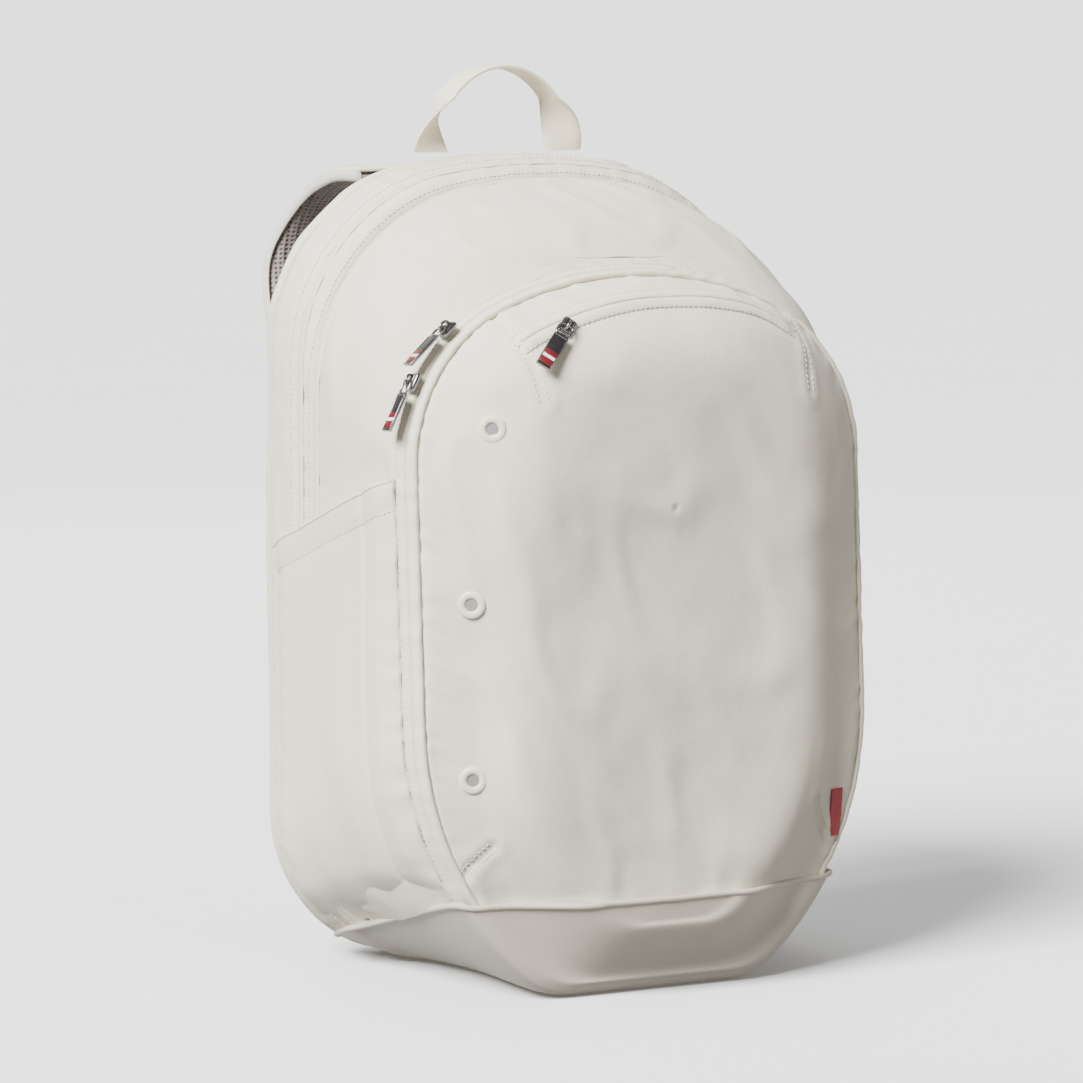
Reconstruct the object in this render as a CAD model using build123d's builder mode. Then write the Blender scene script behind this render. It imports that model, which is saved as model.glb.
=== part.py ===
from build123d import *
import os
from collections import namedtuple
from math import atan2, cos, degrees, radians, sin, sqrt, tan

os.makedirs("parts", exist_ok=True)

# Racket backpack.  Millimetres, +Z up, front towards -Y, origin on the floor under the bag.

# ---- driving dimensions ----
wall = 3.0                # padded fabric wall
tape_wall = 1.5           # zip tape
tape_recess = 1.2         # how far a long zip sits under the surface
fit = 0.2                 # clearance between sewn-in pieces
part_gap = 0.4            # clearance between pieces that move apart

back_y = 100.0            # rear face of the back panel
seam_y = 90.0             # seam between back panel and racket compartment
racket_zip_y = 54.0
main_zip_y = 35.0
zip_width = 8.0
chest_y = -15.0           # fullest part of the main compartment
pocket_y = -89.7          # foot of the leaning front pocket plane
pocket_lean = 3.5         # degrees
band_depth = 15.0         # front pocket zip band
band_taper = 7.0          # how far the band narrows over its depth
face_y = -124.0           # flat of the front panel
roll_depth = 18.0         # how far the rounded edge of the front panel runs back from its flat
shoulder_y = face_y + roll_depth

cap_z = 448.0             # fold line of the compartment tops
flap_z = 122.0            # fold line of the front pocket panel
rim_z = 62.0              # boot rim at the front
rim_knee_y = -80.0        # the rim falls towards the back from here
rim_slope = 0.267
boot_wall = 3.0
beyond = 300.0            # larger than the bag in every direction, for cutting planes

Outline = namedtuple("Outline", "half_width top crown corner flank flank_z foot foot_z")
back_edge = Outline(163.0, 507.0, 400.0, 115.0, 98.0, 98.0, 80.0, 3.0)
back_seam = Outline(165.0, 507.0, 400.0, 118.0, 99.0, 99.0, 80.0, 3.0)
racket_line = Outline(164.5, 504.0, 380.0, 122.0, 105.0, 105.0, 79.0, 3.0)
main_line = Outline(163.0, 495.0, 330.0, 130.0, 120.0, 120.0, 66.0, 3.0)
chest = Outline(163.0, 478.0, 300.0, 125.0, 160.0, 150.0, 52.0, 3.0)
pocket_line = Outline(161.0, 446.0, 240.0, 110.0, 200.0, 170.0, 48.0, 3.0)
shoulder = Outline(128.0, 424.0, 225.0, 95.0, 190.0, 170.0, 46.0, 18.0)
face = Outline(98.0, 392.0, 200.0, 80.0, 150.0, 165.0, 38.0, 44.0)

strap_width = 66.0
strap_shell_thick = 4.0
strap_mesh_thick = 6.0
binding_width = 3.0
webbing_width = 25.0
webbing_thick = 2.0


def grown(line, by):
    """The outline moved outwards by a distance, every arc about its own centre."""
    return Outline(line.half_width + by, line.top + by, line.crown + by, line.corner + by,
                   line.flank + by, line.flank_z, line.foot + by, line.foot_z - by)


def corner_centre(line):
    """Centre of the arc between crown and side, on the +X side."""
    x = line.half_width - line.corner
    return Vector(x, line.top - line.crown + sqrt((line.crown - line.corner) ** 2 - x ** 2))


def on_arc(centre, radius, angle):
    return centre + Vector(radius * cos(radians(angle)), radius * sin(radians(angle)))


def arch(plane, line):
    """Closed arch: flat foot, foot arc, flank arc, straight side, corner arc and crown."""
    crown_mid = Vector(0, line.top - line.crown)
    corner_mid = corner_centre(line)
    flank_mid = Vector(line.half_width - line.flank, line.flank_z)
    foot_up = line.foot_z + line.foot
    foot_in = sqrt((line.flank - line.foot) ** 2 - (line.flank_z - foot_up) ** 2)
    foot_mid = Vector(flank_mid.X + foot_in, foot_up)
    turn = degrees(atan2(foot_mid.Y - flank_mid.Y, foot_mid.X - flank_mid.X))
    bend = degrees(atan2(corner_mid.Y - crown_mid.Y, corner_mid.X - crown_mid.X))
    with BuildSketch(plane) as sketch:
        with BuildLine():
            flat = Line((0, line.foot_z), (foot_mid.X, line.foot_z))
            foot_half = on_arc(foot_mid, line.foot, (turn - 90) / 2)
            foot_end = on_arc(flank_mid, line.flank, turn)
            foot_arc = ThreePointArc(flat @ 1, foot_half, foot_end)
            flank_half = on_arc(flank_mid, line.flank, turn / 2)
            flank_arc = ThreePointArc(foot_arc @ 1, flank_half, (line.half_width, line.flank_z))
            side = Line(flank_arc @ 1, (line.half_width, corner_mid.Y))
            corner_half = on_arc(corner_mid, line.corner, bend / 2)
            corner_end = on_arc(crown_mid, line.crown, bend)
            corner_arc = ThreePointArc(side @ 1, corner_half, corner_end)
            crown_half = on_arc(crown_mid, line.crown, (bend + 90) / 2)
            ThreePointArc(corner_arc @ 1, crown_half, (0, line.top))
            mirror(about=Plane.YZ)
        make_face()
    return sketch.sketch


def upright(y):
    """Plane across the bag, seen from the front."""
    return Plane.XZ.offset(-y)


pocket_up = Vector(0, sin(radians(pocket_lean)), cos(radians(pocket_lean)))
pocket_out = Vector(0, -cos(radians(pocket_lean)), sin(radians(pocket_lean)))
pocket_plane = Plane(origin=(0, pocket_y, 0), x_dir=(1, 0, 0), z_dir=pocket_out)


def band_line(depth):
    """Outline of the zip band at a depth in front of the pocket plane."""
    return grown(pocket_line, -band_taper * depth / band_depth)


def stack(sections, by=0.0):
    """Solid through (plane, outline) sections, all grown by the same distance."""
    with BuildPart() as solid:
        loft([arch(plane, grown(line, by)) for plane, line in sections], ruled=True)
    return solid.part


def ring(sections, outer, inner):
    """Wall between two grown copies of the same sections, open front and back."""
    with BuildPart() as solid:
        add(stack(sections, outer))
        add(stack(sections, inner), mode=Mode.SUBTRACT)
    return solid.part


def below_rim(lift=0.0):
    """Everything under the boot rim, moved up by lift."""
    rear_z = rim_z - rim_slope * (beyond - rim_knee_y)
    with BuildPart() as solid:
        with BuildSketch(Plane.YZ):
            with BuildLine():
                Polyline((-beyond, -beyond), (-beyond, rim_z + lift), (rim_knee_y, rim_z + lift),
                         (beyond, rear_z + lift), (beyond, -beyond), close=True)
            make_face()
        extrude(amount=beyond, both=True)
    return solid.part


def above(z):
    """Everything above a height."""
    with BuildPart() as solid:
        with BuildSketch(Plane.XY.offset(z)):
            Rectangle(2 * beyond, 2 * beyond)
        extrude(amount=2 * beyond)
    return solid.part


def write(part, name):
    part.label = name
    export_step(part, f"parts/{name}.step")


half_zip = zip_width / 2
back_block = [(upright(back_y), back_edge), (upright(seam_y), back_seam)]
racket_block = [(upright(seam_y), back_seam), (upright(racket_zip_y + half_zip), racket_line)]
racket_band = [(upright(racket_zip_y + half_zip), racket_line), (upright(racket_zip_y - half_zip), racket_line)]
mid_block = [(upright(racket_zip_y - half_zip), racket_line), (upright(main_zip_y + half_zip), main_line)]
main_band = [(upright(main_zip_y + half_zip), main_line), (upright(main_zip_y - half_zip), main_line)]
main_block = [(upright(main_zip_y - half_zip), main_line), (upright(chest_y), chest), (pocket_plane, pocket_line)]
split_depth = 7.0
band_rear = [(pocket_plane, band_line(0)), (pocket_plane.offset(split_depth), band_line(split_depth))]
band_front = [(pocket_plane.offset(split_depth + part_gap), band_line(split_depth + part_gap)),
              (pocket_plane.offset(band_depth), band_line(band_depth))]
dome = [(pocket_plane.offset(band_depth), band_line(band_depth)), (upright(shoulder_y), shoulder),
        (upright(face_y), face)]

# ---- back ----
with BuildPart() as back_panel:
    add(stack(back_block))
    add(below_rim(), mode=Mode.SUBTRACT)
write(back_panel.part, "back_panel")

sheet_thick = 2.0
sheet_inset = 9.0
with BuildPart() as frame_sheet:
    with BuildSketch(upright(seam_y - part_gap)):
        add(arch(Plane.XY, grown(back_seam, -sheet_inset)))
    extrude(amount=sheet_thick)
    add(below_rim(sheet_inset), mode=Mode.SUBTRACT)
write(frame_sheet.part, "frame_sheet")

pad_width = 90.0
pad_height = 300.0
pad_thick = 8.0
pad_centre_x = 58.0
pad_centre_z = 252.0
pad_corner = 30.0
pad_taper = 20
for side, name in ((-1, "back_pad_left"), (1, "back_pad_right")):
    with BuildPart() as back_pad:
        with BuildSketch(upright(back_y)):
            with Locations((side * pad_centre_x, pad_centre_z)):
                RectangleRounded(pad_width, pad_height, pad_corner)
        extrude(amount=-pad_thick, taper=pad_taper)
    write(back_pad.part, name)

# ---- compartment walls ----
with BuildPart() as racket_gusset:
    add(ring(racket_block, 0, -wall))
    add(below_rim(), mode=Mode.SUBTRACT)
write(racket_gusset.part, "racket_gusset")

with BuildPart() as racket_zip_tape:
    add(ring(racket_band, -tape_recess, -tape_recess - tape_wall))
    add(below_rim(), mode=Mode.SUBTRACT)
write(racket_zip_tape.part, "racket_zip_tape")

cap_half_gap = part_gap / 2
for name, block, outer, inner in (
        ("mid_gusset", mid_block, 0, -wall),
        ("main_zip_tape", main_band, -tape_recess, -tape_recess - tape_wall)):
    with BuildPart() as lower_ring:
        add(ring(block, outer, inner))
        add(below_rim(), mode=Mode.SUBTRACT)
        add(above(cap_z - cap_half_gap), mode=Mode.SUBTRACT)
    write(lower_ring.part, name)
    with BuildPart() as upper_ring:
        add(ring(block, outer, inner))
        add(above(cap_z + cap_half_gap), mode=Mode.INTERSECT)
    write(upper_ring.part, name + "_top")

divider_thick = 4.0
divider_drop = 4.0
divider_foot = 20.0       # how far the divider reaches into the boot
with BuildPart() as divider:
    with BuildSketch(upright(main_zip_y + half_zip + divider_thick + fit)):
        add(arch(Plane.XY, grown(main_line, -wall - fit)))
    extrude(amount=divider_thick)
    add(above(cap_z - divider_drop), mode=Mode.SUBTRACT)
    add(below_rim(-divider_foot), mode=Mode.SUBTRACT)
write(divider.part, "divider")

with BuildPart() as main_shell:
    add(ring(main_block, 0, -wall))
    add(below_rim(), mode=Mode.SUBTRACT)
    add(above(cap_z - cap_half_gap), mode=Mode.SUBTRACT)
write(main_shell.part, "main_shell")

with BuildPart() as main_cap:
    add(ring(main_block, 0, -wall))
    add(above(cap_z + cap_half_gap), mode=Mode.INTERSECT)
write(main_cap.part, "main_cap")

back_wall_thick = 3.0
with BuildPart() as pocket_back_wall:
    with BuildSketch(pocket_plane.offset(-fit)):
        add(arch(Plane.XY, grown(pocket_line, -wall - 2 * fit)))
    extrude(amount=-back_wall_thick)
    add(below_rim(), mode=Mode.SUBTRACT)
write(pocket_back_wall.part, "pocket_back_wall")

# ---- front pocket ----
band_wall = 2.5
with BuildPart() as pocket_zip_tape_rear:
    add(ring(band_rear, 0, -band_wall))
    add(below_rim(), mode=Mode.SUBTRACT)
write(pocket_zip_tape_rear.part, "pocket_zip_tape_rear")

flap_half_gap = part_gap / 2
with BuildPart() as pocket_zip_tape_front:
    add(ring(band_front, 0, -band_wall))
    add(above(flap_z + flap_half_gap), mode=Mode.INTERSECT)
write(pocket_zip_tape_front.part, "pocket_zip_tape_front")

piping_height = 1.5
piping_width = 3.0
piping_block = [(pocket_plane.offset(band_depth - piping_width), band_line(band_depth - piping_width)),
                (pocket_plane.offset(band_depth), band_line(band_depth))]
with BuildPart() as pocket_piping:
    add(ring(piping_block, piping_height, 0))
    add(above(flap_z + flap_half_gap), mode=Mode.INTERSECT)
write(pocket_piping.part, "pocket_piping")

# eyelets: (x, y, z) of each centre, how far its normal turns to the side and how far it leans up
eyelet_flange = 8.5
eyelet_bore = 4.0
eyelet_barrel = 5.0
eyelet_thick = 1.8
eyelet_seat = 1.2
eyelet_clearance = 0.4
eyelet_inside = 3.5       # how far the barrel reaches inside the cloth
eyelet_places = ((-116.0, shoulder_y - 4.0, 351.0, 0.45, 0.12), (-128.0, shoulder_y, 246.0, 0.52, 0.0),
                 (-127.0, shoulder_y + 0.4, 140.0, 0.42, -0.03))


def eyelet_plane(x, y, z, turn, lean):
    return Plane(origin=(x, y, z), x_dir=(0, 0, 1), z_dir=(-turn, -sqrt(1 - turn ** 2), lean))


panel_wall = 2.5
dome_inner = [dome[0], dome[1], (upright(face_y + panel_wall), face)]
with BuildPart() as pocket_panel:
    add(stack(dome))
    add(stack(dome_inner, -panel_wall), mode=Mode.SUBTRACT)
    add(above(flap_z + flap_half_gap), mode=Mode.INTERSECT)
    for place in eyelet_places:
        with BuildSketch(eyelet_plane(*place)):
            Circle(eyelet_barrel + eyelet_clearance)
        extrude(amount=3 * eyelet_inside, both=True, mode=Mode.SUBTRACT)
write(pocket_panel.part, "pocket_panel")

with BuildPart() as front_lower_panel:
    add(stack(dome))
    add(stack(dome_inner, -panel_wall), mode=Mode.SUBTRACT)
    add(ring(band_front, 0, -band_wall))
    add(above(flap_z - flap_half_gap), mode=Mode.SUBTRACT)
    add(below_rim(), mode=Mode.SUBTRACT)
write(front_lower_panel.part, "front_lower_panel")

with BuildPart() as eyelets:
    for place in eyelet_places:
        with BuildSketch(eyelet_plane(*place).offset(eyelet_seat)):
            Circle(eyelet_flange)
        extrude(amount=eyelet_thick)
        with BuildSketch(eyelet_plane(*place).offset(-eyelet_inside)):
            Circle(eyelet_barrel)
        extrude(amount=eyelet_inside + eyelet_seat + eyelet_thick / 2)
        with BuildSketch(eyelet_plane(*place)):
            Circle(eyelet_bore)
        extrude(amount=3 * eyelet_inside, both=True, mode=Mode.SUBTRACT)
write(eyelets.part, "eyelets")

lip_height = 2.0
lip_rear_y = -97.0
lip_width = 7.0
lip_z = 405.0
with BuildPart() as top_pocket_lip:
    add(ring(dome[:2], lip_height, fit))
    with BuildSketch(upright(lip_rear_y)):
        with Locations((0, lip_z + beyond / 2)):
            Rectangle(beyond, beyond)
    extrude(amount=lip_width, mode=Mode.INTERSECT)
write(top_pocket_lip.part, "top_pocket_lip")

pouch_width = 166.0
pouch_height = 108.0
pouch_depth = 9.0
pouch_wall = 1.5
pouch_rear_y = -93.0
pouch_foot_z = 288.0
with BuildPart() as top_pocket_pouch:
    with BuildSketch(upright(pouch_rear_y)):
        with Locations((0, pouch_foot_z + pouch_height / 2)):
            Rectangle(pouch_width, pouch_height)
    extrude(amount=pouch_depth)
    offset(amount=-pouch_wall, openings=faces().sort_by(Axis.Z)[-1])
write(top_pocket_pouch.part, "top_pocket_pouch")

label_foot_z = 86.0
label_length = 30.0
label_width = 9.0
label_thick = 1.2
label_spot = (131.5, shoulder_y + 1.6)
label_turn = 16
with BuildPart() as side_label:
    with BuildSketch(Plane.XY.offset(label_foot_z)):
        with Locations(Location(label_spot, label_turn)):
            Rectangle(label_width, label_thick)
    extrude(amount=label_length)
write(side_label.part, "side_label")

# ---- side pockets ----
side_gap = 5.4
side_wall = 1.8
side_rear_y = 86.0
side_front_gap = 3.0      # to the front pocket's plane
side_foot_gap = 4.0       # above the boot rim
side_hem = 2.0
mouth_z = 277.0
mouth_y = 53.0
mouth_slope = 0.35


def side_window(side, inset):
    """Region of one side pocket, seen from the side and brought in by inset at rear, front and foot."""
    rear = side_rear_y - inset
    front = pocket_y + side_front_gap + inset
    lean = tan(radians(pocket_lean))
    front_top = (front + lean * mouth_z) / (1 + lean * mouth_slope)
    foot_z = rim_z + side_foot_gap + inset
    with BuildPart() as window:
        with BuildSketch(Plane.YZ):
            with BuildLine():
                Polyline((rear, foot_z - rim_slope * (rear - rim_knee_y)),
                         (rear, mouth_z - mouth_slope * (rear - mouth_y)),
                         (front_top, mouth_z - mouth_slope * (front_top - mouth_y)),
                         (front + lean * foot_z, foot_z), close=True)
            make_face()
        extrude(amount=side * beyond)
    return window.part


side_block = racket_block + racket_band[1:] + main_band + main_block[1:]
for side, name in ((-1, "side_pocket_left"), (1, "side_pocket_right")):
    with BuildPart() as side_pocket:
        add(ring(side_block, side_gap + side_wall, fit))
        add(side_window(side, 0), mode=Mode.INTERSECT)
        with BuildPart(mode=Mode.PRIVATE) as room:
            add(stack(side_block, side_gap))
            add(side_window(side, side_hem), mode=Mode.INTERSECT)
        add(room.part, mode=Mode.SUBTRACT)
    write(side_pocket.part, name)

# ---- base ----
boot_outer = back_block + racket_band[:1] + main_band + main_block[1:] + dome
with BuildPart() as boot:
    add(stack(boot_outer[:-1] + [(upright(face_y - boot_wall), face)], boot_wall))
    add(stack([(upright(back_y - boot_wall), back_edge)] + boot_outer[1:]), mode=Mode.SUBTRACT)
    add(below_rim(-fit), mode=Mode.INTERSECT)
write(boot.part, "boot")

board_thick = 3.0
board_z = 5.2
board_front_y = -74.0
board_rear_y = 86.0
board_front_half = 50.0
board_rear_half = 78.0
board_corner = 12.0
with BuildPart() as base_board:
    with BuildSketch(Plane.XY.offset(board_z)):
        with BuildLine():
            Polyline((-board_front_half, board_front_y), (board_front_half, board_front_y),
                     (board_rear_half, board_rear_y), (-board_rear_half, board_rear_y), close=True)
        make_face()
        fillet(vertices(), board_corner)
    extrude(amount=board_thick)
write(base_board.part, "base_board")

# ---- handle ----
handle_y = 101.0
handle_span = 96.0
handle_rise = 54.0
handle_foot_z = 509.0
handle_steps = 12
handle_twist = 90.0       # the loop turns edge-on at its top
handle_twist_rate = 1.6   # above 1, the turn is complete before the top
handle_sections = []
for step in range(handle_steps + 1):
    angle = 180 - 180 / handle_steps * step
    run = Vector(handle_span / 2 * sin(radians(angle)), 0, -handle_rise * cos(radians(angle))).normalized()
    across = Vector(0, 1, 0).cross(run)
    twist = radians(handle_twist) * min(1.0, handle_twist_rate * sin(radians(angle)))
    width_dir = across * cos(twist) + Vector(0, 1, 0) * sin(twist)
    spot = Vector(handle_span / 2 * cos(radians(angle)), handle_y, handle_foot_z + handle_rise * sin(radians(angle)))
    with BuildSketch(Plane(origin=spot, x_dir=width_dir, z_dir=run)) as handle_cut:
        Rectangle(webbing_width, webbing_thick)
    handle_sections.append(handle_cut.sketch)
with BuildPart() as handle:
    loft(handle_sections, ruled=True)
write(handle.part, "handle")

# ---- shoulder straps: side profile crossed with a front outline ----
strap_path = ((104, 496), (142, 494), (176, 480), (197, 452), (198, 420), (180, 378), (158, 328), (141, 272),
              (129, 215), (122, 168))
strap_centres = ((58, 520), (68, 485), (84, 440), (88, 380), (92, 310), (95, 240), (96, 150))
strap_steps = 24


def strap_slab(low, high):
    """Side profile of one strap layer between two distances outside its middle line."""
    with BuildPart() as slab:
        with BuildSketch(Plane.YZ):
            with BuildLine(mode=Mode.PRIVATE) as spine:
                Spline(*strap_path)
            steps = [i / strap_steps for i in range(strap_steps + 1)]
            normals = [(spine.line % t).rotate(Axis.Z, 90) for t in steps]
            spots = [spine.line @ t for t in steps]
            with BuildLine():
                upper = Spline(*[spot + n * high for spot, n in zip(spots, normals)])
                lower = Spline(*[spot + n * low for spot, n in zip(spots, normals)])
                Line(upper @ 0, lower @ 0)
                Line(upper @ 1, lower @ 1)
            make_face()
        extrude(amount=beyond, both=True)
    return slab.part


def strap_mask(side, inset):
    """Front outline of one strap, brought in by inset all round."""
    half = strap_width / 2 - inset
    with BuildPart() as mask:
        with BuildSketch(upright(beyond)):
            with BuildLine():
                inner = Spline(*[(side * (x - half), z) for x, z in strap_centres])
                outer = Spline(*[(side * (x + half), z) for x, z in strap_centres])
                Line(inner @ 0, outer @ 0)
                Line(inner @ 1, outer @ 1)
            make_face()
        extrude(amount=beyond)
    return mask.part


layer_split = 1.0
for side, tag in ((-1, "left"), (1, "right")):
    with BuildPart() as strap_shell:
        add(strap_slab(layer_split, layer_split + strap_shell_thick))
        add(strap_mask(side, 0), mode=Mode.INTERSECT)
    write(strap_shell.part, f"strap_shell_{tag}")
    with BuildPart() as strap_mesh:
        add(strap_slab(layer_split - strap_mesh_thick, layer_split))
        add(strap_mask(side, binding_width), mode=Mode.INTERSECT)
    write(strap_mesh.part, f"strap_mesh_{tag}")
    with BuildPart() as strap_binding:
        add(strap_slab(layer_split - strap_mesh_thick, layer_split))
        add(strap_mask(side, 0), mode=Mode.INTERSECT)
        add(strap_mask(side, binding_width), mode=Mode.SUBTRACT)
    write(strap_binding.part, f"strap_binding_{tag}")

# ---- strap hardware ----
lock_width = 34.0
lock_height = 25.0
lock_thick = 4.5
lock_top_z = 164.0
lock_y = 121.0
lock_slot = 4.6
lock_slot_gap = 1.0
lock_corner = 3.0
lock_x = 96.0
webbing_low = Vector(128, 104.4, 64)
webbing_high = Vector(98, 116.0, 136)
tail_top_z = 141.0
tail_length = 84.0
tail_y = 125.6
tab_gap = 0.3
tab_thick = 2.4
tab_points = ((153, 94), (146, 58), (118, 48), (111, 72))


def webbing_cut(side, spot, toward):
    spot = Vector(side * spot.X, spot.Y, spot.Z)
    run = Vector(side * toward.X, toward.Y, toward.Z)
    with BuildSketch(Plane(origin=spot, x_dir=Vector(0, 1, 0).cross(run), z_dir=run)) as cut:
        Rectangle(webbing_width, webbing_thick)
    return cut.sketch


for side, tag in ((-1, "left"), (1, "right")):
    with BuildPart() as ladder_lock:
        with BuildSketch(upright(lock_y + lock_thick / 2)):
            with Locations((side * lock_x, lock_top_z - lock_height / 2)):
                RectangleRounded(lock_width, lock_height, lock_corner)
                with GridLocations(0, 2 * lock_slot, 1, 2):
                    Rectangle(webbing_width + lock_slot_gap, lock_slot, mode=Mode.SUBTRACT)
        extrude(amount=lock_thick)
    write(ladder_lock.part, f"ladder_lock_{tag}")
    with BuildPart() as lower_webbing:
        run = webbing_high - webbing_low
        loft([webbing_cut(side, webbing_low, run), webbing_cut(side, webbing_high, run)], ruled=True)
    write(lower_webbing.part, f"lower_webbing_{tag}")
    with BuildPart() as webbing_tail:
        with BuildSketch(Plane.XY.offset(tail_top_z - tail_length)):
            with Locations((side * lock_x, tail_y)):
                Rectangle(webbing_width, webbing_thick)
        extrude(amount=tail_length)
    write(webbing_tail.part, f"webbing_tail_{tag}")
    with BuildPart() as anchor_tab:
        with BuildSketch(upright(back_y + tab_gap)):
            with BuildLine():
                Polyline(*[(side * x, z) for x, z in tab_points], close=True)
            make_face()
        extrude(amount=-tab_thick)
    write(anchor_tab.part, f"anchor_tab_{tag}")

# ---- zip sliders and pulls, each drawn on a plane: X along the pull, Z away from the bag ----
slider_gap = 0.5
slider_length = 12.0
slider_width = 9.0
slider_height = 4.0
slider_corner = 3.0
bail_length = 8.0
bail_width = 2.6
bail_height = 3.6
bail_bar = 1.0
bail_leg = 1.7
pivot_height = slider_gap + slider_height + 1.25
ring_wire = 1.4
ring_width = 10.6
ring_length = 10.0
pull_gap = 0.3
pull_length = 24.0
pull_width = 9.2
pull_thick = 1.8
pull_corner = 1.6
hook_length = 2.0
hook_width = 4.0


def slider_piece(where):
    with BuildPart() as piece:
        with BuildSketch(where.offset(slider_gap)):
            RectangleRounded(slider_length, slider_width, slider_corner)
        extrude(amount=slider_height)
        with BuildSketch(where.offset(slider_gap + slider_height)):
            Rectangle(bail_length, bail_width)
        extrude(amount=bail_height)
        with BuildSketch(where.offset(slider_gap + slider_height)):
            Rectangle(bail_length - 2 * bail_leg, 2 * bail_width)
        extrude(amount=bail_height - bail_bar, mode=Mode.SUBTRACT)
    return piece.part


def ring_piece(where):
    middle = ring_length / 2 - ring_wire / 2
    with BuildPart() as piece:
        with BuildSketch(where.offset(pivot_height - ring_wire / 2)):
            with Locations((middle, 0)):
                Rectangle(ring_length, ring_width)
                Rectangle(ring_length - 2 * ring_wire, ring_width - 2 * ring_wire, mode=Mode.SUBTRACT)
        extrude(amount=ring_wire)
    return piece.part


def pull_piece(where):
    start = ring_length - ring_wire / 2 + pull_gap
    with BuildPart() as piece:
        with BuildSketch(where.offset(pivot_height - pull_thick / 2)):
            with Locations((start + pull_length / 2, 0)):
                RectangleRounded(pull_length, pull_width, pull_corner)
        extrude(amount=pull_thick)
    return piece.part


def arc_plane(base, line, side, depth, angle):
    """Plane on an outline's corner arc; angle is measured up from the side, and X points down the track."""
    centre = corner_centre(line)
    out = (cos(radians(angle)), sin(radians(angle)))
    down = (sin(radians(angle)), -cos(radians(angle)))
    spot = base.from_local_coords((side * (centre.X + line.corner * out[0]), centre.Y + line.corner * out[1], depth))
    z_dir = base.x_dir * (side * out[0]) + base.y_dir * out[1]
    x_dir = base.x_dir * (side * down[0]) + base.y_dir * down[1]
    return Plane(origin=spot, x_dir=x_dir, z_dir=z_dir)


def side_plane(y, half_width, z):
    return Plane(origin=(half_width, y, z), x_dir=(0, 0, -1), z_dir=(1, 0, 0))


pocket_slider_depth = split_depth + part_gap / 2
pocket_upper_angle = 48
pocket_lower_angle = 28
long_zip_angle = 13
main_lower_z = 345.0
racket_lower_z = 360.0
slider_places = {
    "pocket_upper": arc_plane(pocket_plane, pocket_line, -1, pocket_slider_depth, pocket_upper_angle),
    "pocket_lower": arc_plane(pocket_plane, pocket_line, -1, pocket_slider_depth, pocket_lower_angle),
    "top_pocket": Plane(origin=(-66, shoulder_y - 4.0, 409.8), x_dir=(-0.67, -0.32, -0.67), z_dir=(-0.143, -0.87, 0.47)),
    "main_upper": arc_plane(upright(main_zip_y), main_line, 1, 0, long_zip_angle),
    "main_lower": side_plane(main_zip_y, main_line.half_width, main_lower_z),
    "racket_upper": arc_plane(upright(racket_zip_y), racket_line, 1, 0, long_zip_angle),
    "racket_lower": side_plane(racket_zip_y, racket_line.half_width, racket_lower_z),
}
for name, where in slider_places.items():
    with BuildPart() as slider:
        add(slider_piece(where))
    write(slider.part, f"{name}_slider")
    if name.startswith(("pocket", "top")):
        with BuildPart() as pull_ring:
            add(ring_piece(where))
        write(pull_ring.part, f"{name}_ring")
        with BuildPart() as pull:
            add(pull_piece(where))
        write(pull.part, f"{name}_pull")
    else:
        with BuildPart() as pull:
            add(ring_piece(where))
            add(pull_piece(where))
            with BuildSketch(where.offset(pivot_height - ring_wire / 2)):
                with Locations((ring_length - ring_wire / 2, 0)):
                    Rectangle(hook_length, hook_width)
            extrude(amount=ring_wire)
        write(pull.part, f"{name}_pull")
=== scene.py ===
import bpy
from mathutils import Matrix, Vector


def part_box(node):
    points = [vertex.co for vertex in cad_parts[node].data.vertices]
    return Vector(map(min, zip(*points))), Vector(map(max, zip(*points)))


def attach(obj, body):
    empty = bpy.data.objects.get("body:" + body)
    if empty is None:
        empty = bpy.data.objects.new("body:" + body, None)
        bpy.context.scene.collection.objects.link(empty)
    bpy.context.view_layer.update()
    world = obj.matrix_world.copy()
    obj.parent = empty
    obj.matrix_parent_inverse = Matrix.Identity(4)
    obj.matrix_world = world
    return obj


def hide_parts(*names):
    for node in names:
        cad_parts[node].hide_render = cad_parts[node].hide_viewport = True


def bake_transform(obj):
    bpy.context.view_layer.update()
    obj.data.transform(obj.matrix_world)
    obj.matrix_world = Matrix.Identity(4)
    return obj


bl_info = {
    "name": "Racket Backpack",
    "version": (1, 0, 0),
    "blender": (4, 5, 0),
    "location": "View3D > Sidebar > Backpack",
    "description": "Sews a racket backpack over its frame, piece by piece",
    "category": "Add Mesh",
}

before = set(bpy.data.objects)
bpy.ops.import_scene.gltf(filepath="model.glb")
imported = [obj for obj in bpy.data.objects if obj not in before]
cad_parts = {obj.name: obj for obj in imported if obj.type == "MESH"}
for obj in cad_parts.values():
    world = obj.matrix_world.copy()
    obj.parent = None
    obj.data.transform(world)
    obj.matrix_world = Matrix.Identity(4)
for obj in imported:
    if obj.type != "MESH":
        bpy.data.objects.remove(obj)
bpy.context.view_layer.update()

from collections import namedtuple
from math import atan2, cos, exp, pi, radians, sin, sqrt

import bmesh
import bpy
from bpy.props import FloatProperty, FloatVectorProperty, PointerProperty
from mathutils.bvhtree import BVHTree
from mathutils import Matrix, Vector, noise

MM = 0.001
UP = Vector((0, 0, 1))

# ------------------------------------------------------------------ sizes shared by the pieces

# A cut across the bag: half width and top height, radii of the crown and its corner, radius and
# height of the flank, radius and height of the foot.
Outline = namedtuple("Outline", "half_width top crown corner flank flank_z foot foot_z")


def metres(*values):
    return Outline(*[value * MM for value in values])


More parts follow.
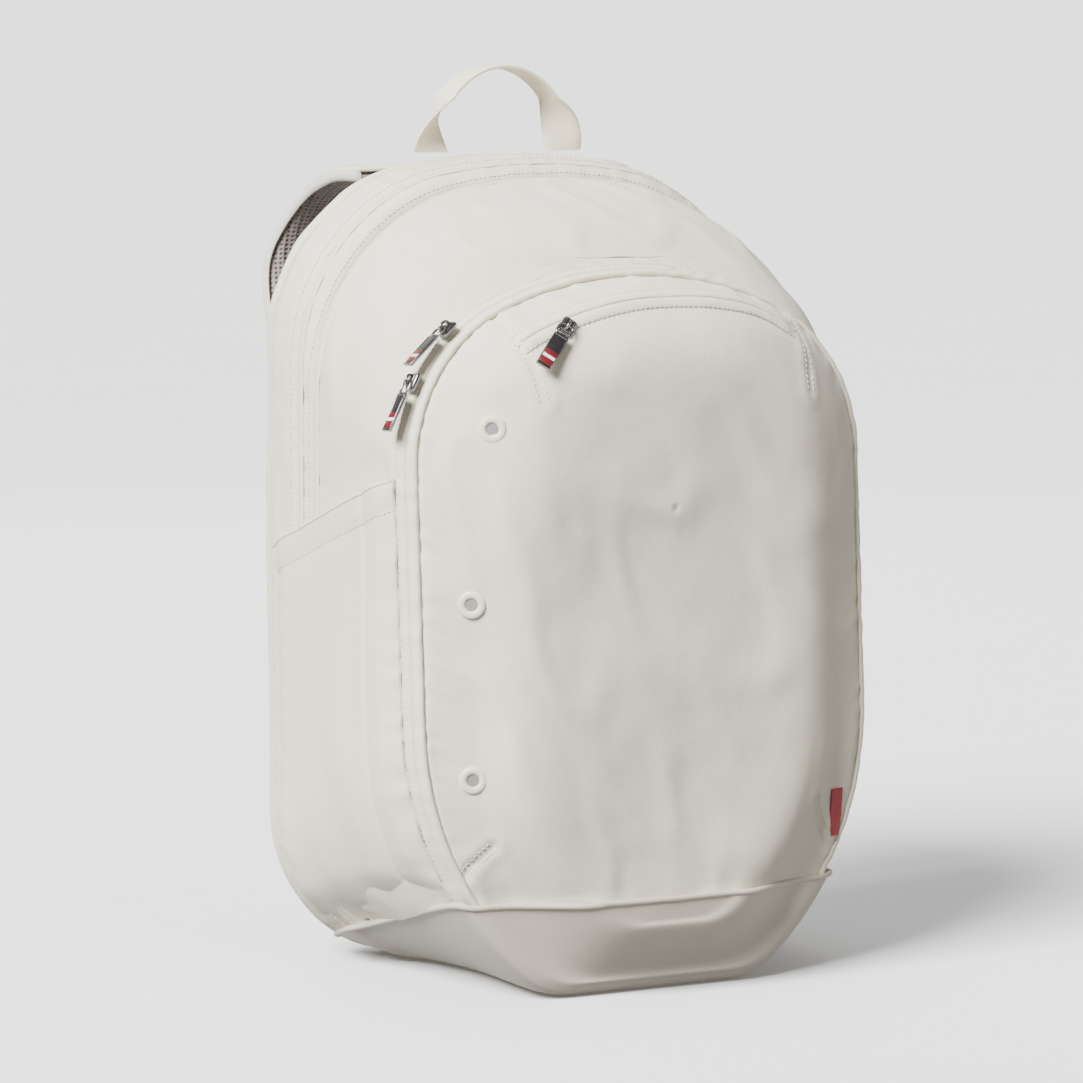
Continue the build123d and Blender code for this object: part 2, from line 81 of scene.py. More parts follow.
BACK_EDGE = metres(163, 507, 400, 115, 98, 98, 80, 3)
BACK_SEAM = metres(165, 507, 400, 118, 99, 99, 80, 3)
RACKET_LINE = metres(164.5, 504, 380, 122, 105, 105, 79, 3)
MAIN_LINE = metres(163, 495, 330, 130, 120, 120, 66, 3)
CHEST = metres(163, 478, 300, 125, 160, 150, 52, 3)
POCKET_LINE = metres(161, 446, 240, 110, 200, 170, 48, 3)

BACK_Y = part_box("back_panel")[1].y
SEAM_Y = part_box("back_panel")[0].y
RACKET_ZIP = [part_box("racket_zip_tape")[1].y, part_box("racket_zip_tape")[0].y]
MAIN_ZIP = [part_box("main_zip_tape")[1].y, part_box("main_zip_tape")[0].y]
CHEST_Y = -15 * MM
POCKET_Y = -89.7 * MM
POCKET_LEAN = radians(3.5)
BAND_DEPTH = 15 * MM
BAND_TAPER = 7 * MM
FACE_Y = -124 * MM
CAP_Z = 448 * MM
RIM_Z = 62 * MM
RIM_KNEE_Y = -80 * MM
RIM_SLOPE = 0.267

# Outward normal of the leaning front.
FRONT_OUT = Vector((0, -cos(POCKET_LEAN), sin(POCKET_LEAN)))


class Section:
    """One cut across the bag: an outline on a plane that may lean."""

    def __init__(self, origin, lean, line):
        self.origin = origin
        self.lean = lean
        self.line = line

    def place(self, x, height):
        return self.origin + Vector((x, height * sin(self.lean), height * cos(self.lean)))

    def mixed(self, other, share):
        line = Outline(*[a + (b - a) * share for a, b in zip(self.line, other.line)])
        lean = self.lean + (other.lean - self.lean) * share
        return Section(self.origin.lerp(other.origin, share), lean, line)


def upright(y, line):
    return Section(Vector((0, y, 0)), 0, line)


def grown(line, by):
    return Outline(line.half_width + by, line.top + by, line.crown + by, line.corner + by,
                   line.flank + by, line.flank_z, line.foot + by, line.foot_z - by)


def band_section(depth):
    """Cut through the front pocket's zip band, depth in front of the pocket plane."""
    origin = Vector((0, POCKET_Y, 0)) + FRONT_OUT * depth
    return Section(origin, POCKET_LEAN, grown(POCKET_LINE, -BAND_TAPER * depth / BAND_DEPTH))


def centres(line):
    """Arc centres of an outline's right half, and the angles where its arcs meet."""
    crown = Vector((0, line.top - line.crown))
    corner_x = line.half_width - line.corner
    corner = Vector((corner_x, crown.y + sqrt((line.crown - line.corner) ** 2 - corner_x ** 2)))
    flank = Vector((line.half_width - line.flank, line.flank_z))
    foot_up = line.foot_z + line.foot
    foot_in = sqrt(max((line.flank - line.foot) ** 2 - (line.flank_z - foot_up) ** 2, 0))
    foot = Vector((flank.x + foot_in, foot_up))
    bend = atan2(corner.y - crown.y, corner.x - crown.x)
    turn = atan2(foot.y - flank.y, foot.x - flank.x)
    return crown, corner, flank, foot, bend, turn


def half_arch(line):
    """Right half of an outline from the top of its crown to the middle of its foot."""
    crown, corner, flank, foot, bend, turn = centres(line)
    arcs = ((crown, line.crown, pi / 2, bend, 36), (corner, line.corner, bend, 0, 36),
            (flank, line.flank, 0, turn, 24), (foot, line.foot, turn, -pi / 2, 24))
    points = []
    for centre, radius, start, end, steps in arcs:
        for step in range(steps + 1):
            angle = start + (end - start) * step / steps
            points.append(centre + Vector((cos(angle), sin(angle))) * radius)
    points.append(Vector((0, line.foot_z)))
    return points


def rim_height(y):
    return RIM_Z - RIM_SLOPE * max(0, y - RIM_KNEE_Y)


def resampled(points, count, ease=None):
    """The polyline again with evenly spaced points, or spaced by ease(0..1)."""
    lengths = [0]
    for a, b in zip(points, points[1:]):
        lengths.append(lengths[-1] + (b - a).length)
    result = []
    index = 0
    for step in range(count):
        share = step / (count - 1)
        goal = lengths[-1] * (ease(share) if ease else share)
        while index < len(points) - 2 and lengths[index + 1] < goal:
            index += 1
        span = lengths[index + 1] - lengths[index]
        result.append(points[index].lerp(points[index + 1], (goal - lengths[index]) / span if span else 0))
    return result


def split_at_rim(section, lift=0):
    """Right half of a cut in space, divided where the boot's rim crosses it."""
    points = [section.place(p.x, p.y) for p in half_arch(section.line)]
    upper = []
    for index, point in enumerate(points):
        level = rim_height(point.y) + lift
        if point.z < level:
            before = points[index - 1]
            share = (before.z - level) / max(before.z - point.z, 1e-9)
            crossing = before.lerp(point, min(max(share, 0), 1))
            return upper + [crossing], [crossing] + points[index:]
        upper.append(point)
    return upper, points[-1:]


def mirrored(points):
    return [Vector((-p.x, p.y, p.z)) for p in points]


def over_top(section, count, lift=0):
    """Points from the rim on the left, over the top, to the rim on the right."""
    right = resampled(split_at_rim(section, lift)[0], count)
    return mirrored(reversed(right))[:-1] + right


def under_foot(section, count, lift=0):
    """Points from the rim on the right, under the foot, to the rim on the left."""
    right = resampled(split_at_rim(section, lift)[1], count)
    return right[:-1] + mirrored(reversed(right))


def catmull(points, share):
    """Point on a smooth curve through all the points."""
    last = len(points) - 1
    place = min(max(share, 0), 1) * last
    index = min(int(place), last - 1)
    t = place - index
    p1, p2 = points[index], points[index + 1]
    p0 = points[index - 1] if index else p1 * 2 - p2
    p3 = points[index + 2] if index + 2 <= last else p2 * 2 - p1
    return (p1 * 2 + (p2 - p0) * t + (p0 * 2 - p1 * 5 + p2 * 4 - p3) * t * t
            + (p1 * 3 - p0 - p2 * 3 + p3) * t ** 3) * 0.5


def smooth(edge0, edge1, value):
    t = min(max((value - edge0) / (edge1 - edge0), 0), 1)
    return t * t * (3 - 2 * t)


def ripple(point, size, seed=0):
    """Soft noise between -1 and 1 whose bumps are about size across."""
    return noise.noise(point / size + Vector((seed * 7.3, seed * 3.1, seed * 5.7)))


def profile(steps, share):
    """Value at share from (place, value) steps, with straight lines between them."""
    for (a, low), (b, high) in zip(steps, steps[1:]):
        if share <= b:
            return low + (high - low) * (share - a) / (b - a)
    return steps[-1][1]


# ------------------------------------------------------------------ mesh helpers

def normals_of(grid, closed=False):
    rows, cols = len(grid), len(grid[0])
    result = []
    for i in range(rows):
        line = []
        for j in range(cols):
            left = grid[i][(j - 1) % cols] if closed else grid[i][max(j - 1, 0)]
            right = grid[i][(j + 1) % cols] if closed else grid[i][min(j + 1, cols - 1)]
            ahead = grid[min(i + 1, rows - 1)][j] - grid[max(i - 1, 0)][j]
            normal = ahead.cross(right - left)
            line.append(normal.normalized() if normal.length > 1e-14 else Vector((0, 0, 0)))
        result.append(line)
    return result


def lifted(grid, height, closed=False):
    """The grid moved along its own normals by height(point, row share, column share)."""
    rows, cols = len(grid), len(grid[0])
    normals = normals_of(grid, closed)
    return [[grid[i][j] + normals[i][j] * height(grid[i][j], i / (rows - 1), j / (cols - 1))
             for j in range(cols)] for i in range(rows)]


def link(mesh, name):
    piece = bpy.data.objects.new(name, mesh)
    bpy.context.scene.collection.objects.link(piece)
    return piece


def steps_along(points):
    lengths = [0]
    for a, b in zip(points, points[1:]):
        lengths.append(lengths[-1] + (b - a).length)
    return lengths


def close_middle(grid):
    """Makes the last row's left and right halves meet exactly."""
    last = grid[-1]
    for j in range(len(last) // 2):
        mean = (last[j] + last[-1 - j]) / 2
        last[j] = last[-1 - j] = mean
    top = max(p.z for p in last)
    pole = [j for j, p in enumerate(last) if p.z > top - 1.5 * MM]
    centre = sum((last[j] for j in pole), Vector()) / len(pole)
    for j in pole:
        last[j] = centre.copy()
    return grid


def cloth_mesh(name, grid, wall=0, closed=False, weld=0, open_last=True):
    """Object from a grid of points, outer side out, with cloth coordinates in metres and an even wall."""
    rows, cols = len(grid), len(grid[0])
    along = steps_along(grid[rows // 2] + ([grid[rows // 2][0]] if closed else []))
    middle = cols // 2
    across = steps_along([row[middle] for row in grid])
    points = [p for row in grid for p in row]
    cloth = [(along[j], across[i]) for i in range(rows) for j in range(cols)]
    spans = cols if closed else cols - 1
    faces = []
    for i in range(rows - 1):
        for j in range(spans):
            k = (j + 1) % cols
            faces.append((i * cols + j, (i + 1) * cols + j, (i + 1) * cols + k, i * cols + k))
    if wall:
        normals = normals_of(grid, closed)
        shift = len(points)
        under = [[grid[i][j] - normals[i][j] * wall for j in range(cols)] for i in range(rows)]
        if not open_last:
            close_middle(under)
        points = points + [p for row in under for p in row]
        cloth = cloth + cloth
        faces = faces + [tuple(shift + v for v in reversed(face)) for face in faces]
        edges = []
        for j in range(spans):
            k = (j + 1) % cols
            edges.append((j, k))
            if open_last:
                edges.append(((rows - 1) * cols + k, (rows - 1) * cols + j))
        if not closed:
            for i in range(rows - 1):
                edges.append(((i + 1) * cols, i * cols))
                edges.append((i * cols + cols - 1, (i + 1) * cols + cols - 1))
        faces = faces + [(a, b, b + shift, a + shift) for a, b in edges]
    mesh = bpy.data.meshes.new(name)
    mesh.from_pydata(points, [], faces)
    layer = mesh.uv_layers.new(name="Cloth")
    for loop in mesh.loops:
        u, v = cloth[loop.vertex_index]
        layer.data[loop.index].uv = (u, v)
    piece = link(mesh, name)
    if weld:
        tidy(piece, weld)
    return piece


def tidy(piece, distance):
    """Merges points that meet and drops what they leave flat."""
    work = bmesh.new()
    work.from_mesh(piece.data)
    bmesh.ops.remove_doubles(work, verts=work.verts, dist=distance)
    bmesh.ops.dissolve_degenerate(work, edges=work.edges, dist=distance * 0.5)
    work.to_mesh(piece.data)
    work.free()


def select_none():
    for other in bpy.context.selected_objects:
        other.select_set(False)


def only(piece):
    select_none()
    piece.select_set(True)
    bpy.context.view_layer.objects.active = piece


def smoothed(piece, angle=50):
    only(piece)
    bpy.ops.object.shade_smooth_by_angle(angle=radians(angle), keep_sharp_edges=True)
    return piece


def finished(piece, material, body=None, stands_for=(), angle=50):
    """Material, body and CAD nodes of a finished piece."""
    smoothed(piece, angle)
    piece.data.materials.clear()
    piece.data.materials.append(MATERIALS[material]())
    if stands_for:
        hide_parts(*stands_for)
    if body:
        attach(piece, body)
    return piece


def frame_along(points, normals, index):
    before = points[max(index - 1, 0)]
    after = points[min(index + 1, len(points) - 1)]
    run = (after - before).normalized()
    out = (normals[index] - run * normals[index].dot(run)).normalized()
    return run, out, run.cross(out)


def tube(name, points, radius, sides=10, flat=1.0, normals=None):
    """Round or oval cord mesh along points."""
    normals = normals or [UP] * len(points)
    grid = []
    for index, point in enumerate(points):
        _, out, side = frame_along(points, normals, index)
        turns = [-2 * pi * k / sides for k in range(sides)]
        grid.append([point + out * (radius * flat * cos(a)) + side * (radius * sin(a)) for a in turns])
    piece = cloth_mesh(name, grid, closed=True)
    work = bmesh.new()
    work.from_mesh(piece.data)
    work.verts.ensure_lookup_table()
    work.faces.new([work.verts[k] for k in range(sides)])
    work.faces.new([work.verts[(len(points) - 1) * sides + k] for k in reversed(range(sides))])
    bmesh.ops.recalc_face_normals(work, faces=work.faces)
    work.to_mesh(piece.data)
    work.free()
    return piece


def stitches(name, points, normals, pitch, length, radius, raise_by=0.0):
    """Row of separate thread loops lying on a surface."""
    lengths = steps_along(points)
    count = max(int(lengths[-1] / pitch), 1)
    verts, faces = [], []
    index = 0
    for step in range(count):
        goal = (step + 0.5) * lengths[-1] / count
        while index < len(points) - 2 and lengths[index + 1] < goal:
            index += 1
        run, out, side = frame_along(points, normals, index)
        span = lengths[index + 1] - lengths[index]
        share = (goal - lengths[index]) / span if span else 0
        centre = points[index].lerp(points[index + 1], share) + out * raise_by
        base = len(verts)
        for place, width, lift in ((-0.5, 0.35, -0.5), (-0.3, 1, 0.5), (0.3, 1, 0.5), (0.5, 0.35, -0.5)):
            for k in range(6):
                angle = 2 * pi * k / 6
                verts.append(centre + run * (place * length) + out * (radius * (sin(angle) * width + lift))
                             + side * (radius * cos(angle) * width))
        for ring in range(3):
            for k in range(6):
                a = base + ring * 6 + k
                b = base + ring * 6 + (k + 1) % 6
                faces.append((a, a + 6, b + 6, b))
        faces.append(tuple(base + k for k in range(6)))
        faces.append(tuple(base + 18 + k for k in reversed(range(6))))
    mesh = bpy.data.meshes.new(name)
    mesh.from_pydata(verts, [], faces)
    piece = link(mesh, name)
    work = bmesh.new()
    work.from_mesh(mesh)
    bmesh.ops.recalc_face_normals(work, faces=work.faces)
    work.to_mesh(mesh)
    work.free()
    return piece


# ------------------------------------------------------------------ shader helpers

class Value:
    """A socket that Python's operators work on, each adding one Math node."""

    def __init__(self, shader, socket):
        self.shader = shader
        self.socket = socket

    def math(self, operation, other, swap=False):
        node = self.shader.tree.nodes.new("ShaderNodeMath")
        node.operation = operation
        inputs = (node.inputs[1], node.inputs[0]) if swap else (node.inputs[0], node.inputs[1])
        for socket, value in zip(inputs, (self, other)):
            self.shader.feed(socket, value)
        return Value(self.shader, node.outputs[0])

    def __add__(self, other):
        return self.math("ADD", other)

    def __sub__(self, other):
        return self.math("SUBTRACT", other)

    def __rsub__(self, other):
        return self.math("SUBTRACT", other, True)

    def __mul__(self, other):
        return self.math("MULTIPLY", other)

    def __truediv__(self, other):
        return self.math("DIVIDE", other)

    def __gt__(self, other):
        return self.math("GREATER_THAN", other)

    def sine(self):
        return self.math("SINE", 0)

    def size(self):
        return self.math("ABSOLUTE", 0)

    def fraction(self):
        return self.math("FRACT", 0)

    __radd__ = __add__
    __rmul__ = __mul__


class Shader:
    """A material's node tree, filled one call at a time."""

    def __init__(self, name):
        self.material = bpy.data.materials.new(name)
        self.material.use_nodes = True
        self.tree = self.material.node_tree
        self.surface = self.tree.nodes["Principled BSDF"]

    def feed(self, socket, value):
        if isinstance(value, Value):
            self.tree.links.new(value.socket, socket)
        else:
            socket.default_value = value

    def add(self, kind, settings=None, inputs=None, output=0):
        node = self.tree.nodes.new("ShaderNode" + kind)
        for name, value in (settings or {}).items():
            if name == "stops":
                for index, (place, colour) in enumerate(value):
                    ramp = node.color_ramp.elements
                    stop = ramp[index] if index < len(ramp) else ramp.new(place)
                    stop.position = place
                    stop.color = colour
            else:
                setattr(node, name, value)
        for key, value in (inputs or {}).items():
            self.feed(node.inputs[key], value)
        return Value(self, node.outputs[output])

    def noise(self, scale, detail=3.0, vector=None, rough=0.5):
        inputs = {"Scale": scale, "Detail": detail, "Roughness": rough}
        inputs["Vector"] = vector or self.place()
        return self.add("TexNoise", None, inputs)

    def place(self):
        return self.add("TexCoord", None, None, "Object")

    def cloth(self):
        node = self.add("UVMap", {"uv_map": "Cloth"})
        split = self.add("SeparateXYZ", None, {0: node})
        return split, Value(self, split.socket.node.outputs[1])

    def mix(self, share, first, second):
        node = self.add("Mix", {"data_type": "RGBA"}, {0: share, 6: first, 7: second}, 2)
        return node

    def bump(self, height, strength, distance, normal=None):
        inputs = {"Height": height, "Strength": strength, "Distance": distance}
        if normal:
            inputs["Normal"] = normal
        return self.add("Bump", None, inputs)

    def set(self, **values):
        for name, value in values.items():
            self.feed(self.surface.inputs[name.replace("_", " ")], value)
        return self.material


def rgba(colour, factor=1.0):
    return (colour[0] * factor, colour[1] * factor, colour[2] * factor, 1.0)


def once(maker):
    """A material is made the first time it is asked for, and shared after that."""
    def get():
        if maker.__name__ not in MADE:
            MADE[maker.__name__] = maker()
        return MADE[maker.__name__]
    return get


MADE = {}


def looks():
    return bpy.context.scene.backpack_looks


def weave_height(shader, pitch):
    """Plain weave: warp and weft threads that pass over each other."""
    u, v = shader.cloth()
    warp = (u * (2 * pi / pitch)).sine()
    weft = (v * (2 * pi / pitch)).sine()
    over = (u * (pi / pitch)).sine() * (v * (pi / pitch)).sine()
    return warp.size() * (0.5 + over * 0.5) + weft.size() * (0.5 - over * 0.5)


def woven(name, colour, pitch, rough, weave_depth, soil=0.05, slub=0.25):
    """Matte woven cloth with slubs, faint soiling and soft creases."""
    shader = Shader(name)
    place = shader.place()
    threads = weave_height(shader, pitch)
    cloud = shader.noise(9, 3, place)
    grain = shader.noise(420, 2, place)
    slubs = shader.add("TexNoise", None, {"Vector": shader.add(
        "Mapping", None, {"Vector": place, "Scale": (60, 60, 700)}), "Scale": 1.0, "Detail": 2.0})
    tone = cloud * 0.5 + grain * 0.28 + slubs * slub * 0.5
    base = shader.mix(tone, rgba(colour, 1 - soil), rgba(colour, 1 + soil * 0.35))
    shade = shader.mix(threads * 0.32, base, rgba(colour, 0.9))
    creases = shader.noise(34, 4, place, 0.6)
    first = shader.bump(creases, 0.16, 0.004)
    second = shader.bump(grain + threads * 0.8, weave_depth, 0.0004, first)
    return shader.set(Base_Color=shade, Roughness=rough + (cloud - 0.5) * 0.12, Normal=second,
                      Sheen_Weight=0.12, Sheen_Roughness=0.55)


@once
def shell_cloth():
    return woven("shell_cloth", looks().shell, 0.9 * MM, 0.74, 0.35)


@once
def zip_cloth():
    return woven("zip_cloth", looks().tape, 1.1 * MM, 0.6, 0.3)


@once
def lining_cloth():
    return woven("lining_cloth", looks().lining, 1.3 * MM, 0.8, 0.5, 0.12)


@once
def binding_cloth():
    return woven("binding_cloth", looks().binding, 1.0 * MM, 0.8, 0.6, 0.08)


@once
def webbing_cloth():
    """Herringbone webbing: diagonal ribs that turn at each column."""
    shader = Shader("webbing_cloth")
    u, v = shader.cloth()
    column = ((u / (4 * MM)).fraction() - 0.5).size() * 4 * MM
    ribs = ((v + column) * (2 * pi / (1.5 * MM))).sine()
    grain = shader.noise(500, 2)
    cloud = shader.noise(20, 2)
    base = shader.mix(ribs * 0.25 + 0.35, rgba(looks().webbing, 0.86), rgba(looks().webbing))
    tone = shader.mix(cloud * 0.35, base, rgba(looks().webbing, 0.93))
    bump = shader.bump(ribs * 0.5 + grain * 0.4, 0.5, 0.0005)
    return shader.set(Base_Color=tone, Roughness=0.72 + grain * 0.1, Normal=bump, Sheen_Weight=0.1)


@once
def spacer_mesh():
    """Ribbed spacer mesh: rows of small open cells, painted much darker inside as shade in the holes."""
    shader = Shader("spacer_mesh")
    u, v = shader.cloth()
    cell = 3.4 * MM
    row = (v * (2 * pi / cell)).sine()
    hole = ((u * (pi / cell) * 2).sine() * 0.5 + 0.5) * (row * 0.5 + 0.5)
    rib = (u * (2 * pi / (cell * 2))).sine() * 0.5 + 0.5
    grain = shader.noise(900, 2)
    # Painted shade: the open cells are coloured far darker to stand for shade down in the holes.
    hole_shade = hole > 0.42
    base = shader.mix(hole_shade, rgba(looks().mesh), rgba(looks().mesh, 0.32))
    shade = shader.mix(rib * 0.3, base, rgba(looks().mesh, 1.35))
    bump = shader.bump(rib * 0.5 - hole * 0.9 + grain * 0.25, 0.8, 0.0012)
    return shader.set(Base_Color=shade, Roughness=0.8 + grain * 0.12, Normal=bump, Sheen_Weight=0.2)


@once
def boot_coat():
    """Soft moulded coating with a fine leather-like grain and faint scuffs."""
    shader = Shader("boot_coat")
    place = shader.place()
    grain = shader.add("TexVoronoi", {"feature": "SMOOTH_F1"}, {"Vector": place, "Scale": 900.0})
    cloud = shader.noise(11, 3, place)
    scuff = shader.noise(75, 5, place, 0.7)
    mark = (scuff - 0.6) * 4
    base = shader.mix(cloud, rgba(looks().boot, 0.965), rgba(looks().boot, 1.02))
    shade = shader.mix(shader.add("Clamp", None, {0: mark}) * 0.12, base, rgba(looks().boot, 0.82))
    soft = shader.bump(shader.noise(26, 2, place), 0.08, 0.004)
    bump = shader.bump(grain, 0.12, 0.0003, soft)
    return shader.set(Base_Color=shade, Roughness=0.5 + cloud * 0.1, Normal=bump)


@once
def eyelet_ring():
    shader = Shader("eyelet_ring")
    place = shader.place()
    cloud = shader.noise(60, 3, place)
    base = shader.mix(cloud, rgba(looks().shell, 0.93), rgba(looks().shell, 1.02))
    bump = shader.bump(shader.noise(700, 2, place), 0.08, 0.0003)
    return shader.set(Base_Color=base, Roughness=0.42 + cloud * 0.1, Normal=bump)


@once
def bright_metal():
    """Polished zip castings with fine handling scratches."""
    shader = Shader("bright_metal")
    place = shader.place()
    scratch = shader.add("TexNoise", None, {"Vector": shader.add(
        "Mapping", None, {"Vector": place, "Scale": (2600, 300, 300)}), "Scale": 1.0, "Detail": 3.0})
    cloud = shader.noise(160, 3, place)
    base = shader.mix(cloud, (0.10, 0.10, 0.10, 1), (0.27, 0.265, 0.26, 1))
    bump = shader.bump(scratch, 0.08, 0.0002)
    return shader.set(Base_Color=base, Metallic=1.0, Roughness=0.14 + scratch * 0.16, Normal=bump)


@once
def dark_metal():
    shader = Shader("dark_metal")
    cloud = shader.noise(240, 3)
    base = shader.mix(cloud, (0.018, 0.017, 0.019, 1), (0.05, 0.047, 0.05, 1))
    bump = shader.bump(shader.noise(1400, 2), 0.1, 0.0002)
    return shader.set(Base_Color=base, Metallic=0.6, Roughness=0.28 + cloud * 0.15, Normal=bump)


@once
def screen_mesh():
    """Fine knitted screen behind the eyelets."""
    shader = Shader("screen_mesh")
    cells = shader.add("TexVoronoi", None, {"Vector": shader.place(), "Scale": 1300.0})
    base = shader.mix(cells, rgba(looks().screen, 0.7), rgba(looks().screen, 1.15))
    return shader.set(Base_Color=base, Roughness=0.7 + cells * 0.15, Normal=shader.bump(cells, 0.5, 0.0004))


def enamel(name, colour):
    shader = Shader(name)
    cloud = shader.noise(300, 3)
    base = shader.mix(cloud, rgba(colour, 0.85), rgba(colour, 1.1))
    bump = shader.bump(shader.noise(1100, 2), 0.12, 0.0002)
    return shader.set(Base_Color=base, Roughness=0.34 + cloud * 0.15, Normal=bump)


@once
def red_enamel():
    return enamel("red_enamel", [channel * 0.42 for channel in looks().accent])


@once
def pale_enamel():
    return enamel("pale_enamel", (0.82, 0.8, 0.77))


@once
def label_cloth():
    return woven("label_cloth", looks().accent, 0.8 * MM, 0.7, 0.5, 0.15)


@once
def moulded_plastic():
    shader = Shader("moulded_plastic")
    place = shader.place()
    cloud = shader.noise(50, 3, place)
    base = shader.mix(cloud, rgba(looks().webbing, 0.86), rgba(looks().webbing, 0.98))
    bump = shader.bump(shader.noise(1500, 2, place), 0.15, 0.0002)
    return shader.set(Base_Color=base, Roughness=0.42 + cloud * 0.14, Normal=bump)


@once
def thread():
    shader = Shader("thread")
    ply = shader.noise(1800, 2)
    base = shader.mix(ply, rgba(looks().shell, 0.86), rgba(looks().shell, 1.04))
    return shader.set(Base_Color=base, Roughness=0.6 + ply * 0.1, Normal=shader.bump(ply, 0.3, 0.0002))


@once
def stiff_sheet():
    shader = Shader("stiff_sheet")
    cloud = shader.noise(30, 4)
    base = shader.mix(cloud, (0.03, 0.03, 0.032, 1), (0.055, 0.055, 0.058, 1))
    return shader.set(Base_Color=base, Roughness=0.5 + cloud * 0.15, Normal=shader.bump(cloud, 0.1, 0.0005))


MATERIALS = {
    "shell": shell_cloth, "zip": zip_cloth, "lining": lining_cloth, "binding": binding_cloth,
    "webbing": webbing_cloth, "mesh": spacer_mesh, "boot": boot_coat, "eyelet": eyelet_ring,
    "metal": bright_metal, "dark": dark_metal, "red": red_enamel, "pale": pale_enamel, "label": label_cloth,
    "screen": screen_mesh, "plastic": moulded_plastic, "thread": thread, "sheet": stiff_sheet,
}


# ------------------------------------------------------------------ cloth shared by several pieces

BACK_BLOCK = (upright(BACK_Y, BACK_EDGE), upright(SEAM_Y, BACK_SEAM))
RACKET_BLOCK = (upright(SEAM_Y, BACK_SEAM), upright(RACKET_ZIP[0], RACKET_LINE))
MID_BLOCK = (upright(RACKET_ZIP[1], RACKET_LINE), upright(MAIN_ZIP[0], MAIN_LINE))
MAIN_BLOCK = (upright(MAIN_ZIP[1], MAIN_LINE), upright(CHEST_Y, CHEST), band_section(0))
SHOULDER_SECTION = upright(-106 * MM, metres(128, 424, 225, 95, 190, 170, 46, 18))
FACE_SECTION = upright(FACE_Y, metres(98, 392, 200, 80, 150, 165, 38, 44))

LEFT_SEAM = [Vector(p) * MM for p in ((-100, -77.2, 420), (-96.4, -89.5, 410.4), (-93.6, -103.4, 400.4),
                                      (-89.6, -111, 388), (-87.1, -116.4, 375.8), (-86, -119, 366))]
RIGHT_SEAM = [Vector(p) * MM for p in ((108, -80, 416), (107, -91, 405), (104, -100.6, 394.4),
                                       (102.5, -110.4, 376), (101, -114, 366))]
LOWER_LEFT_DART = [Vector(p) * MM for p in ((-138, -92, 66), (-128.1, -101, 85), (-113.8, -107, 99.3))]
LOWER_RIGHT_DART = [Vector(p) * MM for p in ((124, -99, 80), (116.1, -105.2, 96.2), (107.5, -113.1, 113.6))]
DARTS = (LEFT_SEAM, RIGHT_SEAM, LOWER_LEFT_DART, LOWER_RIGHT_DART)


def settings():
    return bpy.context.scene.backpack_cloth


def off_line(point, line):
    """Distance from a point to a line of points, and how far along the line the nearest place is."""
    best, where, run = 1.0, 0, 0
    for a, b in zip(line, line[1:]):
        span = b - a
        share = min(max((point - a).dot(span) / span.length_squared, 0), 1)
        gap = (point - a - span * share).length
        if gap < best:
            best, where = gap, run + share * span.length
        run += span.length
    return best, where / run


def slack(point, seed=0):
    """Soft sag and handling dents of stuffed cloth."""
    wide = ripple(point, 85 * MM, seed) * 2.4 * MM
    bent = Vector((point.x + point.z * 0.5, point.y, point.z * 0.42 - point.x * 0.25))
    fold = ripple(bent, 44 * MM, seed + 3)
    fold = smooth(0, 0.35, 0.35 - abs(fold)) * 1.0 * MM
    fine = ripple(point, 24 * MM, seed + 5) * 0.35 * MM
    return (wide + fold + fine) * settings().crease


def puckers(along, gap, seed=0):
    """Small gathers that run out of a seam and fade; gap is the distance from it."""
    wave = noise.noise(Vector((along / (8 * MM), gap / (46 * MM), seed * 4.1)))
    return wave * 1.3 * MM * exp(-gap / (17 * MM)) * settings().crease


def seam_dip(gap, depth=1.3 * MM, width=2.2 * MM):
    return -depth * exp(-(gap / width) ** 2)


def ruled(rows, count, ease=None):
    """More rows on a smooth surface through the given rows."""
    columns = [[row[j] for row in rows] for j in range(len(rows[0]))]
    result = []
    for step in range(count):
        share = step / (count - 1)
        share = ease(share) if ease else share
        result.append([catmull(column, share) for column in columns])
    return result


def wall_grid(sections, count, columns, seed, lift=0, edges=(1, 1)):
    """Fabric wall around the bag from rim to rim, puffed between its seams."""
    grid = ruled([over_top(section, columns) for section in sections], count)
    lengths = steps_along(grid[len(grid) // 2])
    depth = steps_along([row[columns] for row in grid])[-1]
    puff = min(depth * 0.06, 2.2 * MM)

    def height(point, ahead, across):
        near = ahead * depth
        far = depth - near
        gap = min(near if edges[0] else depth, far if edges[1] else depth)
        value = puff * (1 - (2 * ahead - 1) ** 4) + slack(point, seed) * smooth(0, 12 * MM, gap) + lift
        return value + seam_dip(gap) + puckers(across * lengths[-1], gap, seed)
    return lifted(grid, height)


SEAM_STITCH = (3.4 * MM, 2.5 * MM, 0.28 * MM)   # pitch, length and thread radius


def topstitch(name, grid, share, body=None, between=None, raise_by=0.15 * MM):
    """Row of stitches across a wall at a share of its depth."""
    place = share * (len(grid) - 1)
    row = int(round(place))
    points = grid[row]
    piece = stitches(name, points, normals_of(grid)[row], *SEAM_STITCH, raise_by)
    finished(piece, "thread", body)
    if between:
        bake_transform(piece)
    return piece


# Bend between two bodies: both bodies, then where the bend starts and ends. Only passed to topstitch, which
# bakes the stitching in place.
RACKET_FOLD = ("bag", "upper_front", (0, -0.032, 0.411), (0, -0.02, 0.446))


def trimmed(section, high, count):
    """Right half of a cut between a height and the rim."""
    points = split_at_rim(section)[0]
    kept = []
    for index, point in enumerate(points):
        if point.z <= high:
            if index and not kept:
                before = points[index - 1]
                kept.append(before.lerp(point, (before.z - high) / max(before.z - point.z, 1e-9)))
            kept.append(point)
    return resampled(kept, count)


def along_block(sections, share):
    """Section at a share of the way through a block of sections."""
    place = share * (len(sections) - 1)
    index = min(int(place), len(sections) - 2)
    return sections[index].mixed(sections[index + 1], place - index)


def spine_of(row, top):
    """Upright line in the middle of a face that its outline closes in to."""
    return [Vector((0, p.y, min(p.z, top))) for p in row]


